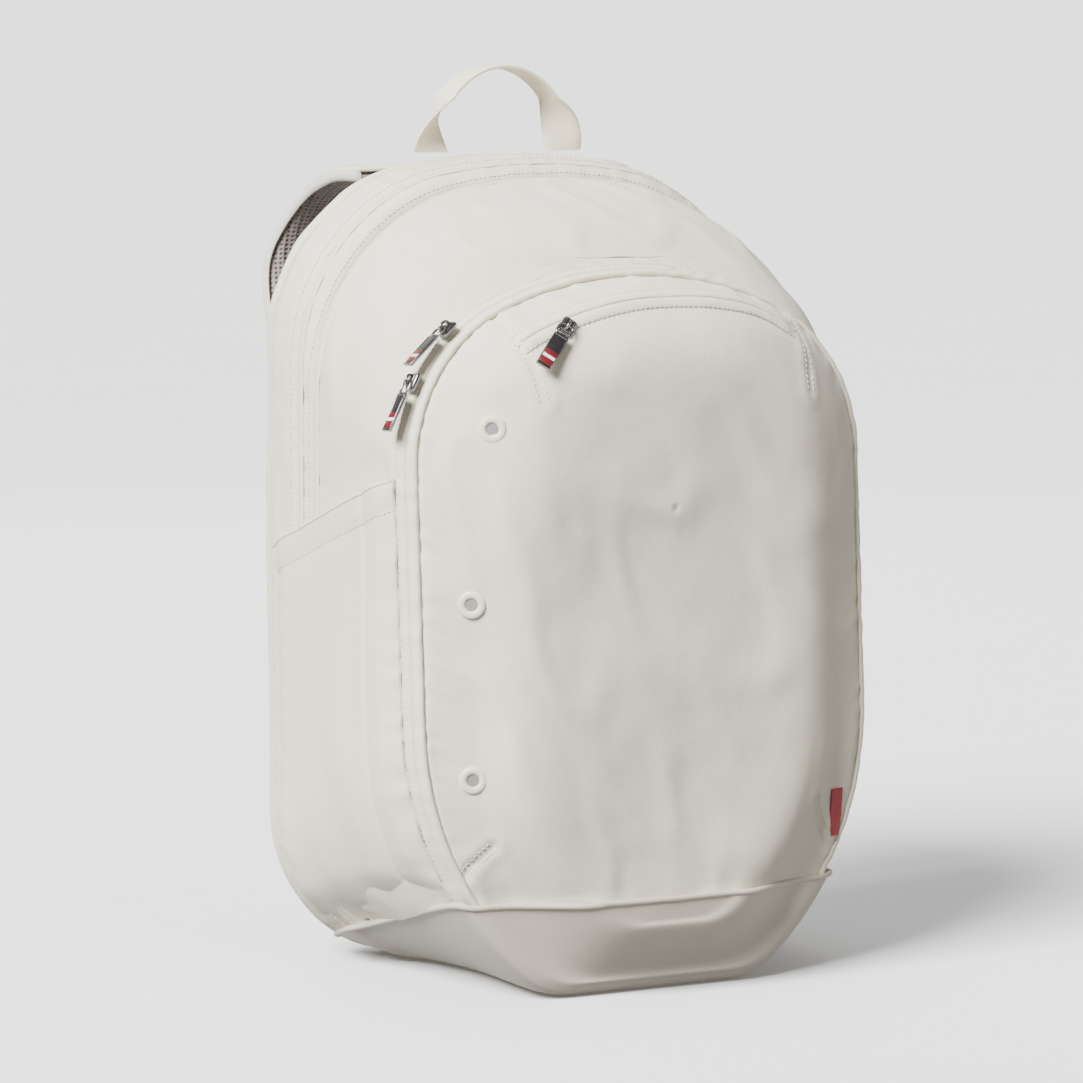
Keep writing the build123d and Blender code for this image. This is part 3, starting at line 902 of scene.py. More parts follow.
def joined(name, *pieces):
    """Several meshes as one piece."""
    only(pieces[0])
    for piece in pieces[1:]:
        piece.select_set(True)
    if len(pieces) > 1:
        bpy.ops.object.join()
    pieces[0].name = name
    pieces[0].data.name = name
    return pieces[0]


# ------------------------------------------------------------------ simulation of stuffed cloth

def billowed(grid, pins, pressure, frames=16):
    """The grid after a short cloth simulation that blows it out between its pinned rows and columns."""
    if not pressure:
        return grid
    rows, cols = len(grid), len(grid[0])
    piece = cloth_mesh("billow", grid)
    group = piece.vertex_groups.new(name="pins")
    for i in range(rows):
        for j in range(cols):
            hold = pins(i / (rows - 1), j / (cols - 1), grid[i][j])
            if hold > 0:
                group.add([i * cols + j], hold, "REPLACE")
    modifier = piece.modifiers.new("Cloth", "CLOTH")
    cloth = modifier.settings
    cloth.quality = 6
    cloth.mass = 0.35
    cloth.tension_stiffness = 30
    cloth.compression_stiffness = 30
    cloth.shear_stiffness = 12
    cloth.bending_stiffness = 1.5
    cloth.use_pressure = True
    cloth.uniform_pressure_force = pressure
    cloth.vertex_group_mass = "pins"
    cloth.effector_weights.gravity = 0
    cloth.shrink_min = -0.012
    modifier.collision_settings.use_collision = False
    scene = bpy.context.scene
    scene.frame_start = 1
    scene.frame_end = frames
    modifier.point_cache.frame_start = 1
    modifier.point_cache.frame_end = frames
    for frame_number in range(1, frames + 1):
        scene.frame_set(frame_number)
    graph = bpy.context.evaluated_depsgraph_get()
    solved = piece.evaluated_get(graph).to_mesh()
    result = []
    for i in range(rows):
        line = []
        for j in range(cols):
            moved = solved.vertices[i * cols + j].co - grid[i][j]
            if moved.length > settings().reach:
                moved *= settings().reach / moved.length
            line.append(grid[i][j] + moved)
        result.append(line)
    scene.frame_set(1)
    bpy.data.objects.remove(piece)
    return result


# ------------------------------------------------------------------ body of the bag

def back_panel():
    """Padded back panel with its quilted lines."""
    rows = [list(reversed(over_top(section, 150))) for section in (BACK_BLOCK[1], BACK_BLOCK[0])]
    inner = [p.lerp(q, 0.08) for p, q in zip(rows[1], spine_of(rows[1], 0.36))]
    spine = spine_of(rows[1], 0.36)
    face = [[p.lerp(q, share) for p, q in zip(rows[1], spine)] for share in (0.3, 0.6, 1.0)]
    grid = ruled([rows[0], rows[1], inner] + face, 84, lambda t: t)

    def height(point, ahead, across):
        bulge = smooth(0.25, 0.5, ahead) * 0.8 * MM
        line = seam_dip(abs(point.x), 1.5 * MM, 3 * MM) * smooth(0.3, 0.45, ahead)
        return bulge + slack(point, 11) * 0.8 + line
    grid = close_middle(lifted(grid, height))
    piece = cloth_mesh("back_panel_cover", grid, 2.5 * MM, weld=0.02 * MM, open_last=False)
    finished(piece, "shell", "bag", ("back_panel", "frame_sheet"))
    topstitch("back_panel_stitching", grid, 0.24, "bag")


def lay_flat(piece):
    """Read the weave straight up and across, as on cloth cut from one flat panel."""
    chart = piece.data.uv_layers.active.data
    for loop in piece.data.loops:
        place = piece.data.vertices[loop.vertex_index].co
        chart[loop.index].uv = (place.x, place.z)


def back_pads():
    """Two long mesh pads on the back, fuller in the middle, quilted across."""
    for side, tag in ((-1, "left"), (1, "right")):
        low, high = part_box("back_pad_" + tag)
        centre = (low + high) / 2
        half = (high - low) / 2
        grid = []
        rings = 22
        for ring in range(rings + 1):
            share = ring / rings
            line = []
            for step in range(96):
                angle = -2 * pi * step / 96
                c, s = cos(angle), sin(angle)
                power = 0.42
                x = half.x * abs(c) ** power * (1 if c > 0 else -1)
                z = (abs(s) ** power) * (1 if s > 0 else -1) * half.x
                stretch = (half.z - half.x) * (1 if z > 0 else -1) * min(1, abs(z) / (half.x * 0.45))
                reach = 1 - share
                p = Vector((centre.x + x * reach, 0, centre.z + (z + stretch) * (1 - share)))
                edge = min(1 - abs(p.x - centre.x) / half.x, 1 - abs(p.z - centre.z) / half.z) * half.x
                swell = half.y * 2 * min(1, sqrt(max(edge, 0) / (16 * MM)))
                groove = min(abs((p.z - low.z) % (60 * MM) - 30 * MM), 20 * MM)
                swell -= 2.4 * MM * exp(-(groove / (3.2 * MM)) ** 2) * smooth(0, 6 * MM, edge)
                p.y = BACK_Y - 0.5 * MM + swell + slack(p, 5) * smooth(0, 10 * MM, edge) * 0.5
                line.append(p)
            grid.append(line)
        piece = cloth_mesh("back_pad_cover_" + tag, grid, closed=True, weld=0.05 * MM)
        lay_flat(piece)
        finished(piece, "mesh", "bag", ("back_pad_" + tag,))
        rim = tube("back_pad_binding_" + tag, grid[0] + grid[0][:1], 1.5 * MM, 8)
        finished(rim, "binding", "bag")


ZIP_PROFILE = ((0, -1.2), (0.25, -0.5), (0.8, -0.35), (0.93, -0.7), (1, -1.6))


def zip_half(name, section, outward, columns, count=7, reach=3.8 * MM):
    """One half of a zip from its sewn edge to the teeth, and its coil; outward is +1 towards the front."""
    edge = over_top(section, columns)
    steps = []
    for step in range(count):
        share = step / (count - 1)
        profile_height = profile(ZIP_PROFILE, share) * MM
        steps.append((reach * min(share, 0.97), profile_height))
    base = [[p + Vector((0, -outward * far, 0)) for p in edge] for far, _ in steps]
    if outward < 0:
        base.reverse()
        steps.reverse()
    normals = normals_of(base)
    grid = [[p + n * steps[i][1] for p, n in zip(row, normals[i])] for i, row in enumerate(base)]
    tape = cloth_mesh(name, grid, 0.9 * MM)
    inner = grid[-1] if outward > 0 else grid[0]
    inner_normals = normals[-1] if outward > 0 else normals[0]
    coil_line = [p - n * 0.5 * MM for p, n in zip(inner, inner_normals)]
    coil = tube(name + "_teeth", coil_line, 0.75 * MM, 6, normals=inner_normals)
    return tape, coil


def racket_compartment():
    """Wall and zip of the racket compartment behind the main one."""
    grid = wall_grid(RACKET_BLOCK, 18, 170, 1)
    wall = cloth_mesh("racket_wall", grid, 2.6 * MM)
    finished(wall, "shell", "bag", ("racket_gusset",))
    topstitch("racket_wall_stitching_rear", grid, 0.12, "bag")
    topstitch("racket_wall_stitching_front", grid, 0.88, "bag")
    tape, coil = zip_half("racket_zip_rear", RACKET_BLOCK[1], 1, 170)
    finished(tape, "zip", "bag", ("racket_zip_tape",))
    finished(coil, "thread", "bag")
    tape, coil = zip_half("racket_zip_front", MID_BLOCK[0], -1, 170)
    finished(tape, "zip")
    finished(coil, "thread")
    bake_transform(tape)
    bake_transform(coil)


def middle_wall():
    """Narrow wall between the two long zips, with the rear half of the main zip."""
    grid = wall_grid(MID_BLOCK, 9, 170, 2, -0.8 * MM)
    wall = cloth_mesh("middle_wall", grid, 2.6 * MM)
    finished(wall, "shell", None, ("mid_gusset", "mid_gusset_top"))
    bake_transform(wall)
    topstitch("middle_wall_stitching", grid, 0.75, None, RACKET_FOLD)
    tape, coil = zip_half("main_zip_rear", MID_BLOCK[1], 1, 170)
    finished(tape, "zip", None, ("main_zip_tape", "main_zip_tape_top"))
    finished(coil, "thread")
    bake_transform(tape)
    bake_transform(coil)


def fullness(point, sections_share, seed):
    """Puff of the main compartment, least at its seams."""
    gap = min(sections_share, 1 - sections_share)
    return 2.6 * MM * smooth(0, 0.3, gap) + slack(point, seed) * smooth(0, 0.12, gap) * 1.25


def main_compartment():
    """Wall of the main compartment below the fold of its cap."""
    count, columns = 52, 120
    right = [trimmed(along_block(MAIN_BLOCK, i / (count - 1)), CAP_Z, columns) for i in range(count)]
    depth = 112 * MM

    def height(point, ahead, across):
        gap = min(ahead, 1 - ahead) * depth
        length = point.z + abs(point.x)
        return fullness(point, ahead, 4) + seam_dip(gap) + puckers(length, gap, 5)
    halves = []
    left = [list(reversed(mirrored(row))) for row in right]
    for name, rows in (("main_wall", right), ("main_wall_left", left)):
        halves.append(cloth_mesh(name, lifted(rows, height), 2.6 * MM))
    wall = joined("main_wall", *halves)
    tidy(wall, 0.05 * MM)
    finished(wall, "shell", None, ("main_shell",))
    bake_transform(wall)


def hidden_gusset():
    """Strip sewn to the pocket band that the main wall slides over when the front leans forward."""
    sections = [along_block(MAIN_BLOCK, share) for share in (0.66, 0.83, 0.995)]
    grid = ruled([over_top(section, 110) for section in sections], 8)
    grid = lifted(grid, lambda p, a, b: -4.6 * MM)
    keep = [j for j in range(len(grid[0])) if grid[0][j].z > 0.2]
    grid = [[row[j] for j in keep] for row in grid]
    strip_piece = cloth_mesh("hidden_gusset", grid, 0.9 * MM)
    finished(strip_piece, "shell", "bag")


def main_cap():
    """Top of the main compartment above the line where it folds forward when its zip is open; built closed
    and fixed here.
    """
    count = 44
    last = 0
    rows = []
    for i in range(count):
        section = along_block(MAIN_BLOCK, i / (count - 1) * 0.97)
        points = [section.place(p.x, p.y) for p in half_arch(section.line)]
        kept = [p for p in points if p.z >= CAP_Z]
        if len(kept) < 2:
            break
        below = points[len(kept)]
        kept.append(kept[-1].lerp(below, (kept[-1].z - CAP_Z) / (kept[-1].z - below.z)))
        half = resampled(kept, 60)
        rows.append(mirrored(reversed(half))[:-1] + half)
        last = i / (count - 1) * 0.97
    depth = 112 * MM

    def height(point, ahead, across):
        share = ahead * last
        gap = min(share, 1 - share) * depth
        length = point.z + abs(point.x)
        return fullness(point, share, 4) + seam_dip(gap) + puckers(length, gap, 5)
    cap = cloth_mesh("cap_cover", lifted(rows, height), 2.6 * MM, weld=0.02 * MM)
    finished(cap, "shell", None, ("main_cap",))
    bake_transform(cap)


def front_half_of_main_zip():
    """Front half of the main zip: one part on the wall and one on the cap."""
    tape, coil = zip_half("main_zip_front", MAIN_BLOCK[0], -1, 170)
    for piece in (tape, coil):
        work = bmesh.new()
        work.from_mesh(piece.data)
        upper = bpy.data.meshes.new(piece.name + "_top")
        high = work.copy()
        for mesh, keep_high, target in ((work, False, piece.data), (high, True, upper)):
            geometry = mesh.verts[:] + mesh.edges[:] + mesh.faces[:]
            bmesh.ops.bisect_plane(mesh, geom=geometry, plane_co=(0, 0, CAP_Z), plane_no=(0, 0, 1),
                                   clear_inner=keep_high, clear_outer=not keep_high)
            mesh.to_mesh(target)
            mesh.free()
        top = link(upper, piece.name + "_top")
        kind = "zip" if piece == tape else "thread"
        finished(piece, kind)
        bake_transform(piece)
        finished(top, kind)
        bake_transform(top)


# ------------------------------------------------------------------ front pocket

def band_grid(start, end, count, seed):
    sections = [band_section(start + (end - start) * i / (count - 1)) for i in range(count)]
    grid = [over_top(section, 190) for section in sections]
    lengths = steps_along(grid[0])

    def height(point, ahead, across):
        return puckers(across * lengths[-1], 6 * MM, seed) * 0.9
    return lifted(grid, height)


def pocket_band():
    """Zip band round the front pocket: rear tape, front tape, teeth between them and piping."""
    grid = band_grid(0, 7.05 * MM, 12, 8)
    normals = normals_of(grid)
    for i, row in enumerate(grid):
        share = i / (len(grid) - 1)
        drop = profile(((0, -0.9), (0.1, 0.1), (0.8, 0.3), (0.93, 0), (1, -1.3)), share) * MM
        grid[i] = [p + n * drop for p, n in zip(row, normals[i])]
    rear = cloth_mesh("pocket_band_rear", grid, 2.0 * MM)
    finished(rear, "zip", "bag", ("pocket_zip_tape_rear",))
    topstitch("pocket_band_stitching", grid, 0.22, "bag")
    line = [p - n * 0.8 * MM for p, n in zip(grid[-1], normals[-1])]
    teeth = tube("pocket_teeth_rear", line, 0.8 * MM, 6, normals=normals[-1])
    finished(teeth, "thread", "bag")
    grid = band_grid(7.35 * MM, BAND_DEPTH, 14, 8)
    normals = normals_of(grid)
    for i, row in enumerate(grid):
        share = i / (len(grid) - 1)
        drop = profile(((0, -1.3), (0.08, 0), (0.2, 0.3), (0.6, 0.2), (1, -0.4)), share) * MM
        grid[i] = [p + n * drop for p, n in zip(row, normals[i])]
    front = cloth_mesh("pocket_band_front", grid, 2.0 * MM)
    finished(front, "zip", None, ("pocket_zip_tape_front",))
    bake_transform(front)
    line = [p - n * 0.8 * MM for p, n in zip(grid[0], normals[0])]
    teeth = tube("pocket_teeth_front", line, 0.8 * MM, 6, normals=normals[0])
    finished(teeth, "thread")
    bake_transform(teeth)
    row = int(len(grid) * 0.8)
    line = [p + n * 0.4 * MM for p, n in zip(grid[row], normals[row])]
    piping = tube("pocket_piping_cord", line, 1.9 * MM, 10, normals=normals[row])
    finished(piping, "shell", None, ("pocket_piping",))
    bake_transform(piping)


def front_grid(rows=88, columns=150):
    """Domed front from the piping in to an upright line down its middle."""
    outer = over_top(band_section(BAND_DEPTH), columns)
    shoulder = over_top(SHOULDER_SECTION, columns)
    face = over_top(FACE_SECTION, columns)
    spine = spine_of(face, 0.3)
    crown = [p.lerp(q, 0.5) + Vector((0, -2.2 * MM, 0)) for p, q in zip(face, spine)]
    spine = [p + Vector((0, -3.0 * MM, 0)) for p in spine]
    grid = ruled([outer, shoulder, face, crown, spine], rows)
    return grid


def front_shape(point, ahead, across):
    length = 1.15 * across
    gap = ahead * 0.17
    value = slack(point, 21) * smooth(0, 14 * MM, gap) * 1.2 + puckers(length, gap, 9) * 1.3
    value += seam_dip(gap, 1.6 * MM, 2.4 * MM)
    for line in DARTS:
        away, _ = off_line(point, line)
        value += seam_dip(away, 1.7 * MM, 2.0 * MM) + 0.7 * MM * exp(-((away - 6 * MM) / (4 * MM)) ** 2)
    rim = point.z - rim_height(point.y)
    folds = noise.noise(Vector((point.x / (26 * MM), rim / (90 * MM), 3.3)))
    value += folds * 2.0 * MM * exp(-rim / (30 * MM)) * smooth(0, 5 * MM, rim) * settings().crease
    return value


def front_cover():
    """Front of the bag with its darts, from the piping down to the boot."""
    grid = front_grid()

    def pins(ahead, across, point):
        edge = min(ahead / 0.03, across / 0.01, (1 - across) / 0.01)
        if edge < 1:
            return 1.0
        return 0.0 if ahead < 0.93 else 0.02
    grid = billowed(grid, pins, settings().pressure)
    grid = close_middle(lifted(grid, front_shape))
    cover = cloth_mesh("front_cover", grid, 2.2 * MM, weld=0.02 * MM, open_last=False)
    finished(cover, "shell", None, ("pocket_panel", "front_lower_panel"))
    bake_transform(cover)
    return grid


def surface_tree():
    """Search tree over the finished front, for pieces sewn onto it."""
    mesh = bpy.data.objects["front_cover"].data
    return BVHTree.FromPolygons([v.co for v in mesh.vertices], [p.vertices for p in mesh.polygons])


def laid(tree, points, raise_by=0.0):
    """Points moved onto the outside of the front, and the normals there."""
    places, normals = [], []
    for point in points:
        hit, normal = tree.ray_cast(point + Vector((point.x * 0.3, -60 * MM, 20 * MM)),
                                    -Vector((point.x * 0.3, -60 * MM, 20 * MM)).normalized())[:2]
        if hit is None:
            hit, normal = tree.find_nearest(point)[:2]
        places.append(hit + normal * raise_by)
        normals.append(normal)
    return places, normals


def dart_stitching():
    """Topstitching beside each dart of the front."""
    tree = surface_tree()
    rows = []
    for index, line in enumerate(DARTS):
        dense = [catmull(line, i / 40) for i in range(41)]
        across = (line[-1] - line[0]).cross(Vector((0, -1, 0))).normalized()
        for sign in (-1, 1):
            points, normals = laid(tree, [p + across * sign * 3.2 * MM for p in dense])
            rows.append(stitches(f"dart_{index}_{sign}", points, normals, *SEAM_STITCH, 0.1 * MM))
    piece = joined("dart_stitching", *rows)
    finished(piece, "thread")
    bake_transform(piece)


def top_pocket():
    """Lipped zip of the small pocket across the top of the front."""
    tree = surface_tree()
    mouth = [Vector(p) * MM for p in (
        (-95, -103, 399), (-77.7, -105.4, 409), (-47.2, -105, 418.5), (-11.5, -104, 424),
        (30.5, -104, 423.8), (70, -101, 416), (98, -99, 402))]
    dense = [catmull(mouth, i / 90) for i in range(91)]
    grid = []
    shape = ((-7.5, -0.3), (-7, 0.9), (-5.5, 1.5), (-3, 1.9), (-0.9, 2.0), (-0.35, 1.5), (-0.3, 0.1),
             (0.3, 0.1), (0.35, 1.3), (0.9, 1.8), (3, 1.7), (5.5, 1.3), (7, 0.8), (7.5, -0.3))
    centre, normals = laid(tree, dense)
    for wide, high in shape:
        row = []
        for index, point in enumerate(centre):
            side = frame_along(centre, normals, index)[2]
            taper = smooth(0, 0.04, min(index, 90 - index) / 90)
            spot, there = laid(tree, [point + side * wide * MM])
            row.append(spot[0] + there[0] * (high * taper * MM))
        grid.append(row)
    normal = normals_of(grid)[4][45]
    if normal.y > 0:
        grid.reverse()
    lip = cloth_mesh("top_pocket_lip_cover", grid, 0.5 * MM)
    finished(lip, "shell", "flap", ("top_pocket_lip",))
    for share in (1, -2):
        tag = "a" if share > 0 else "b"
        piece = stitches(f"top_pocket_stitching_{tag}", grid[share], normals_of(grid)[share],
                         *SEAM_STITCH, 0.25 * MM)
        finished(piece, "thread", "flap")
    course = [p + n * 0.4 * MM for p, n in zip(centre, normals)]
    teeth = tube("top_pocket_teeth", course, 0.8 * MM, 6, normals=normals)
    finished(teeth, "thread", "flap")


def box_cloth(name, low, high, material, body, nodes, bulge=0.0):
    """Closed thin bag between two corners, a little fuller in the middle."""
    cells = 24
    sheets = []
    for sign in (-1, 1):
        grid = []
        for i in range(cells + 1):
            row = []
            for j in range(cells + 1):
                u, v = i / cells, j / cells
                edge = min(u, 1 - u, v, 1 - v)
                y = (low.y + high.y) / 2 + sign * (high.y - low.y) / 2 * min(1, sqrt(edge * 16))
                p = Vector((low.x + (high.x - low.x) * v, y, high.z + (low.z - high.z) * u))
                p.y += ripple(p, 40 * MM, 2) * bulge
                row.append(p)
            grid.append(row if sign < 0 else list(reversed(row)))
        sheets.append(cloth_mesh(name if sign < 0 else name + "_b", grid))
    piece = joined(name, *sheets)
    tidy(piece, 0.05 * MM)
    return finished(piece, material, body, nodes)


def top_pouch():
    """Lining pouch that hangs inside the front from the top pocket's mouth."""
    low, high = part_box("top_pocket_pouch")
    piece = box_cloth("top_pouch_lining", low, high, "lining", "flap",
                      ("top_pocket_pouch",), 1.2 * MM)


def flat_lining(name, node, section, thick, top, body, material="lining", seed=6):
    """Lining sheet that fills a cut across the bag."""
    columns = 60
    rows = []
    outline = trimmed(section, top, columns)
    outline = mirrored(reversed(outline))[:-1] + outline if outline[0].x < 1e-6 else (
        mirrored(reversed(outline)) + outline)
    spine = spine_of(outline, 0.3)
    for share in (0, 0.04, 0.3, 0.65, 1.0):
        rows.append([p.lerp(q, share) for p, q in zip(outline, spine)])
    grid = ruled(rows, 30)
    grid = close_middle(lifted(
        grid, lambda p, a, b: slack(p, seed) * smooth(0, 0.15, a) * smooth(0, 0.3, 1 - a)))
    piece = cloth_mesh(name, grid, thick, weld=0.02 * MM, open_last=False)
    finished(piece, material, body, (node,))
    return piece


def linings():
    """Sheets inside the bag: the wall behind the front pocket and the divider."""
    inner = grown(POCKET_LINE, -3.4 * MM)
    origin = Vector((0, POCKET_Y, 0)) - FRONT_OUT * 0.6 * MM
    rear = Section(origin, POCKET_LEAN, inner)
    flat_lining("pocket_rear_lining", "pocket_back_wall", rear, 2.4 * MM, 1.0, "bag")
    low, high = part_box("divider")
    section = upright(low.y + 0.4 * MM, grown(MAIN_LINE, -3.4 * MM))
    flat_lining("divider_cover", "divider", section, 3 * MM, high.z, "bag")


# Centre of each eyelet in millimetres, how far it turns to the side and how far it leans up.
EYELETS = ((-116.0, -110.0, 351.0, 0.45, 0.12), (-128.0, -106.0, 246.0, 0.52, 0.0),
           (-127.0, -105.6, 140.0, 0.42, -0.03))


def plane_matrix(origin, x_axis, z_axis):
    z = Vector(z_axis).normalized()
    x = Vector(x_axis)
    x = (x - z * x.dot(z)).normalized()
    y = z.cross(x)
    matrix = Matrix((x, y, z)).transposed().to_4x4()
    matrix.translation = Vector(origin)
    return matrix


def seat(piece, matrix):
    """Moves a piece's mesh to its place, with the object left at the origin."""
    piece.data.transform(piece.matrix_basis)
    piece.matrix_basis = Matrix.Identity(4)
    piece.data.transform(matrix)
    piece.data.update()
    return piece


def ring_shape(name, radius, wire, flat):
    select_none()
    bpy.ops.mesh.primitive_torus_add(major_radius=radius, minor_radius=wire,
                                     major_segments=48, minor_segments=16)
    piece = bpy.context.active_object
    piece.name = name
    piece.data.name = name
    piece.scale = (1, 1, flat)
    bpy.ops.object.transform_apply(location=False, rotation=False, scale=True)
    return piece


def block(name, size, centre, bevel, segments=3):
    """Box with rounded edges."""
    select_none()
    bpy.ops.mesh.primitive_cube_add(size=1, location=centre)
    piece = bpy.context.active_object
    piece.name = name
    piece.data.name = name
    piece.scale = size
    bpy.ops.object.transform_apply(location=True, rotation=False, scale=True)
    rounding = piece.modifiers.new("Rounding", "BEVEL")
    rounding.width = bevel
    rounding.segments = segments
    rounding.limit_method = "ANGLE"
    bpy.ops.object.modifier_apply(modifier=rounding.name)
    return piece


def eyelets():
    """Three rubber-coated eyelets down the left of the front, with mesh behind the holes."""
    tree = surface_tree()
    rings, screens = [], []
    for index, (x, y, z, turn, lean) in enumerate(EYELETS):
        normal = Vector((-turn, -sqrt(1 - turn * turn), lean)).normalized()
        centre = Vector((x, y, z)) * MM
        hit = tree.ray_cast(centre + normal * 60 * MM, -normal)[0] or centre
        matrix = plane_matrix(hit + normal * 0.3 * MM, (0, 0, 1), normal)
        ring = ring_shape(f"eyelet_ring_{index}", 6.1 * MM, 2.3 * MM, 0.55)
        rings.append(seat(ring, matrix))
        select_none()
        bpy.ops.mesh.primitive_circle_add(vertices=32, radius=4.4 * MM, fill_type="TRIFAN",
                                          location=(0, 0, 0.1 * MM))
        screen = bpy.context.active_object
        bpy.ops.object.transform_apply(location=True, rotation=False, scale=False)
        screens.append(seat(screen, matrix))
    finished(joined("eyelet_rings", *rings), "eyelet", "flap", ("eyelets",))
    finished(joined("eyelet_screens", *screens), "screen", "flap")


# ------------------------------------------------------------------ side pockets

def at_height(section, z):
    """Point of a cut's right side at a height."""
    points = [section.place(p.x, p.y) for p in half_arch(section.line)]
    for a, b in zip(points, points[1:]):
        if a.z >= z >= b.z and a.x > 40 * MM:
            return a.lerp(b, (a.z - z) / max(a.z - b.z, 1e-9))
    return points[-2]


SIDE_BLOCK = (upright(SEAM_Y, BACK_SEAM), upright(RACKET_ZIP[0], RACKET_LINE),
              upright(MAIN_ZIP[0], MAIN_LINE),
              upright(CHEST_Y, CHEST), band_section(0))


def by_depth(sections, share):
    """Section at a share of the depth of a block of sections."""
    lengths = steps_along([section.origin for section in sections])
    goal = share * lengths[-1]
    for index, (a, b) in enumerate(zip(lengths, lengths[1:])):
        if goal <= b or index == len(sections) - 2:
            return sections[index].mixed(sections[index + 1], (goal - a) / (b - a))


def side_grid(rows=70, columns=96):
    """Lower side of the bag that the side pocket is sewn to, from mouth to foot and rear to front."""
    grid = [[None] * columns for _ in range(rows)]
    for j in range(columns):
        section = by_depth(SIDE_BLOCK, 0.02 + j / (columns - 1) * 0.98)
        guess = section.place(0, 0.2).y
        mouth = (277 - 0.35 * (guess * 1000 - 53)) * MM
        mouth_y = section.place(0, mouth).y
        mouth = (277 - 0.35 * (mouth_y * 1000 - 53)) * MM
        for i in range(rows):
            share = i / (rows - 1)
            foot = rim_height(section.place(0, 0.05).y) + 3.5 * MM
            grid[i][j] = at_height(section, mouth + (foot - mouth) * share)
    return grid


def side_pockets():
    """Slack pockets low on each side, open along a sloping elastic hem."""
    base = side_grid()

    def height(point, down, along):
        seam = min(along, 1 - along) * 172 * MM
        foot = (1 - down) * 240 * MM
        gap = min(seam, foot)
        top = down * 240 * MM
        puff = (1.0 + 5.8 * smooth(0, 22 * MM, seam) * smooth(0, 30 * MM, foot)) * MM
        puff -= 1.6 * MM * exp(-((along - 0.235) / 0.02) ** 2) * smooth(0, 30 * MM, foot)
        crease = ripple(Vector((point.y * 0.6, point.z * 0.35, 0)), 24 * MM, 14) * 1.5 * MM
        fold = noise.noise(Vector((along * 4.2 + down * 1.1, down * 1.4, 8))) * 3.0 * MM
        edge = smooth(0, 16 * MM, gap) * settings().crease
        hem = 0.7 * MM * exp(-((top - 9 * MM) / (9 * MM)) ** 2)
        hem -= 1.0 * MM * exp(-((top - 19 * MM) / (2 * MM)) ** 2)
        loose = (crease + fold) * edge * smooth(0, 25 * MM, top)
        return puff + loose + hem + puckers(point.z, gap, 3) * 1.3
    for side, tag in ((1, "right"), (-1, "left")):
        inward = normals_of(base)[30][30].x < 0
        shaped = lifted([list(reversed(row)) for row in base] if inward else base, height)
        if side < 0:
            shaped = [list(reversed(mirrored(row))) for row in shaped]
        piece = cloth_mesh("side_pocket_cover_" + tag, shaped, 1.6 * MM)
        finished(piece, "shell", "bag", ("side_pocket_" + tag,))
        normal = normals_of(shaped)
        row = int(0.075 * (len(shaped) - 1))
        stitch = stitches(f"side_pocket_hem_{tag}", shaped[row], normal[row], *SEAM_STITCH, 0.2 * MM)
        finished(stitch, "thread", "bag")
        course = [p - n * 0.6 * MM for p, n in zip(shaped[0], normal[0])]
        hem = tube(f"side_pocket_edge_{tag}", course, 1.3 * MM, 8, normals=normal[0])
        finished(hem, "shell", "bag")


# ------------------------------------------------------------------ base

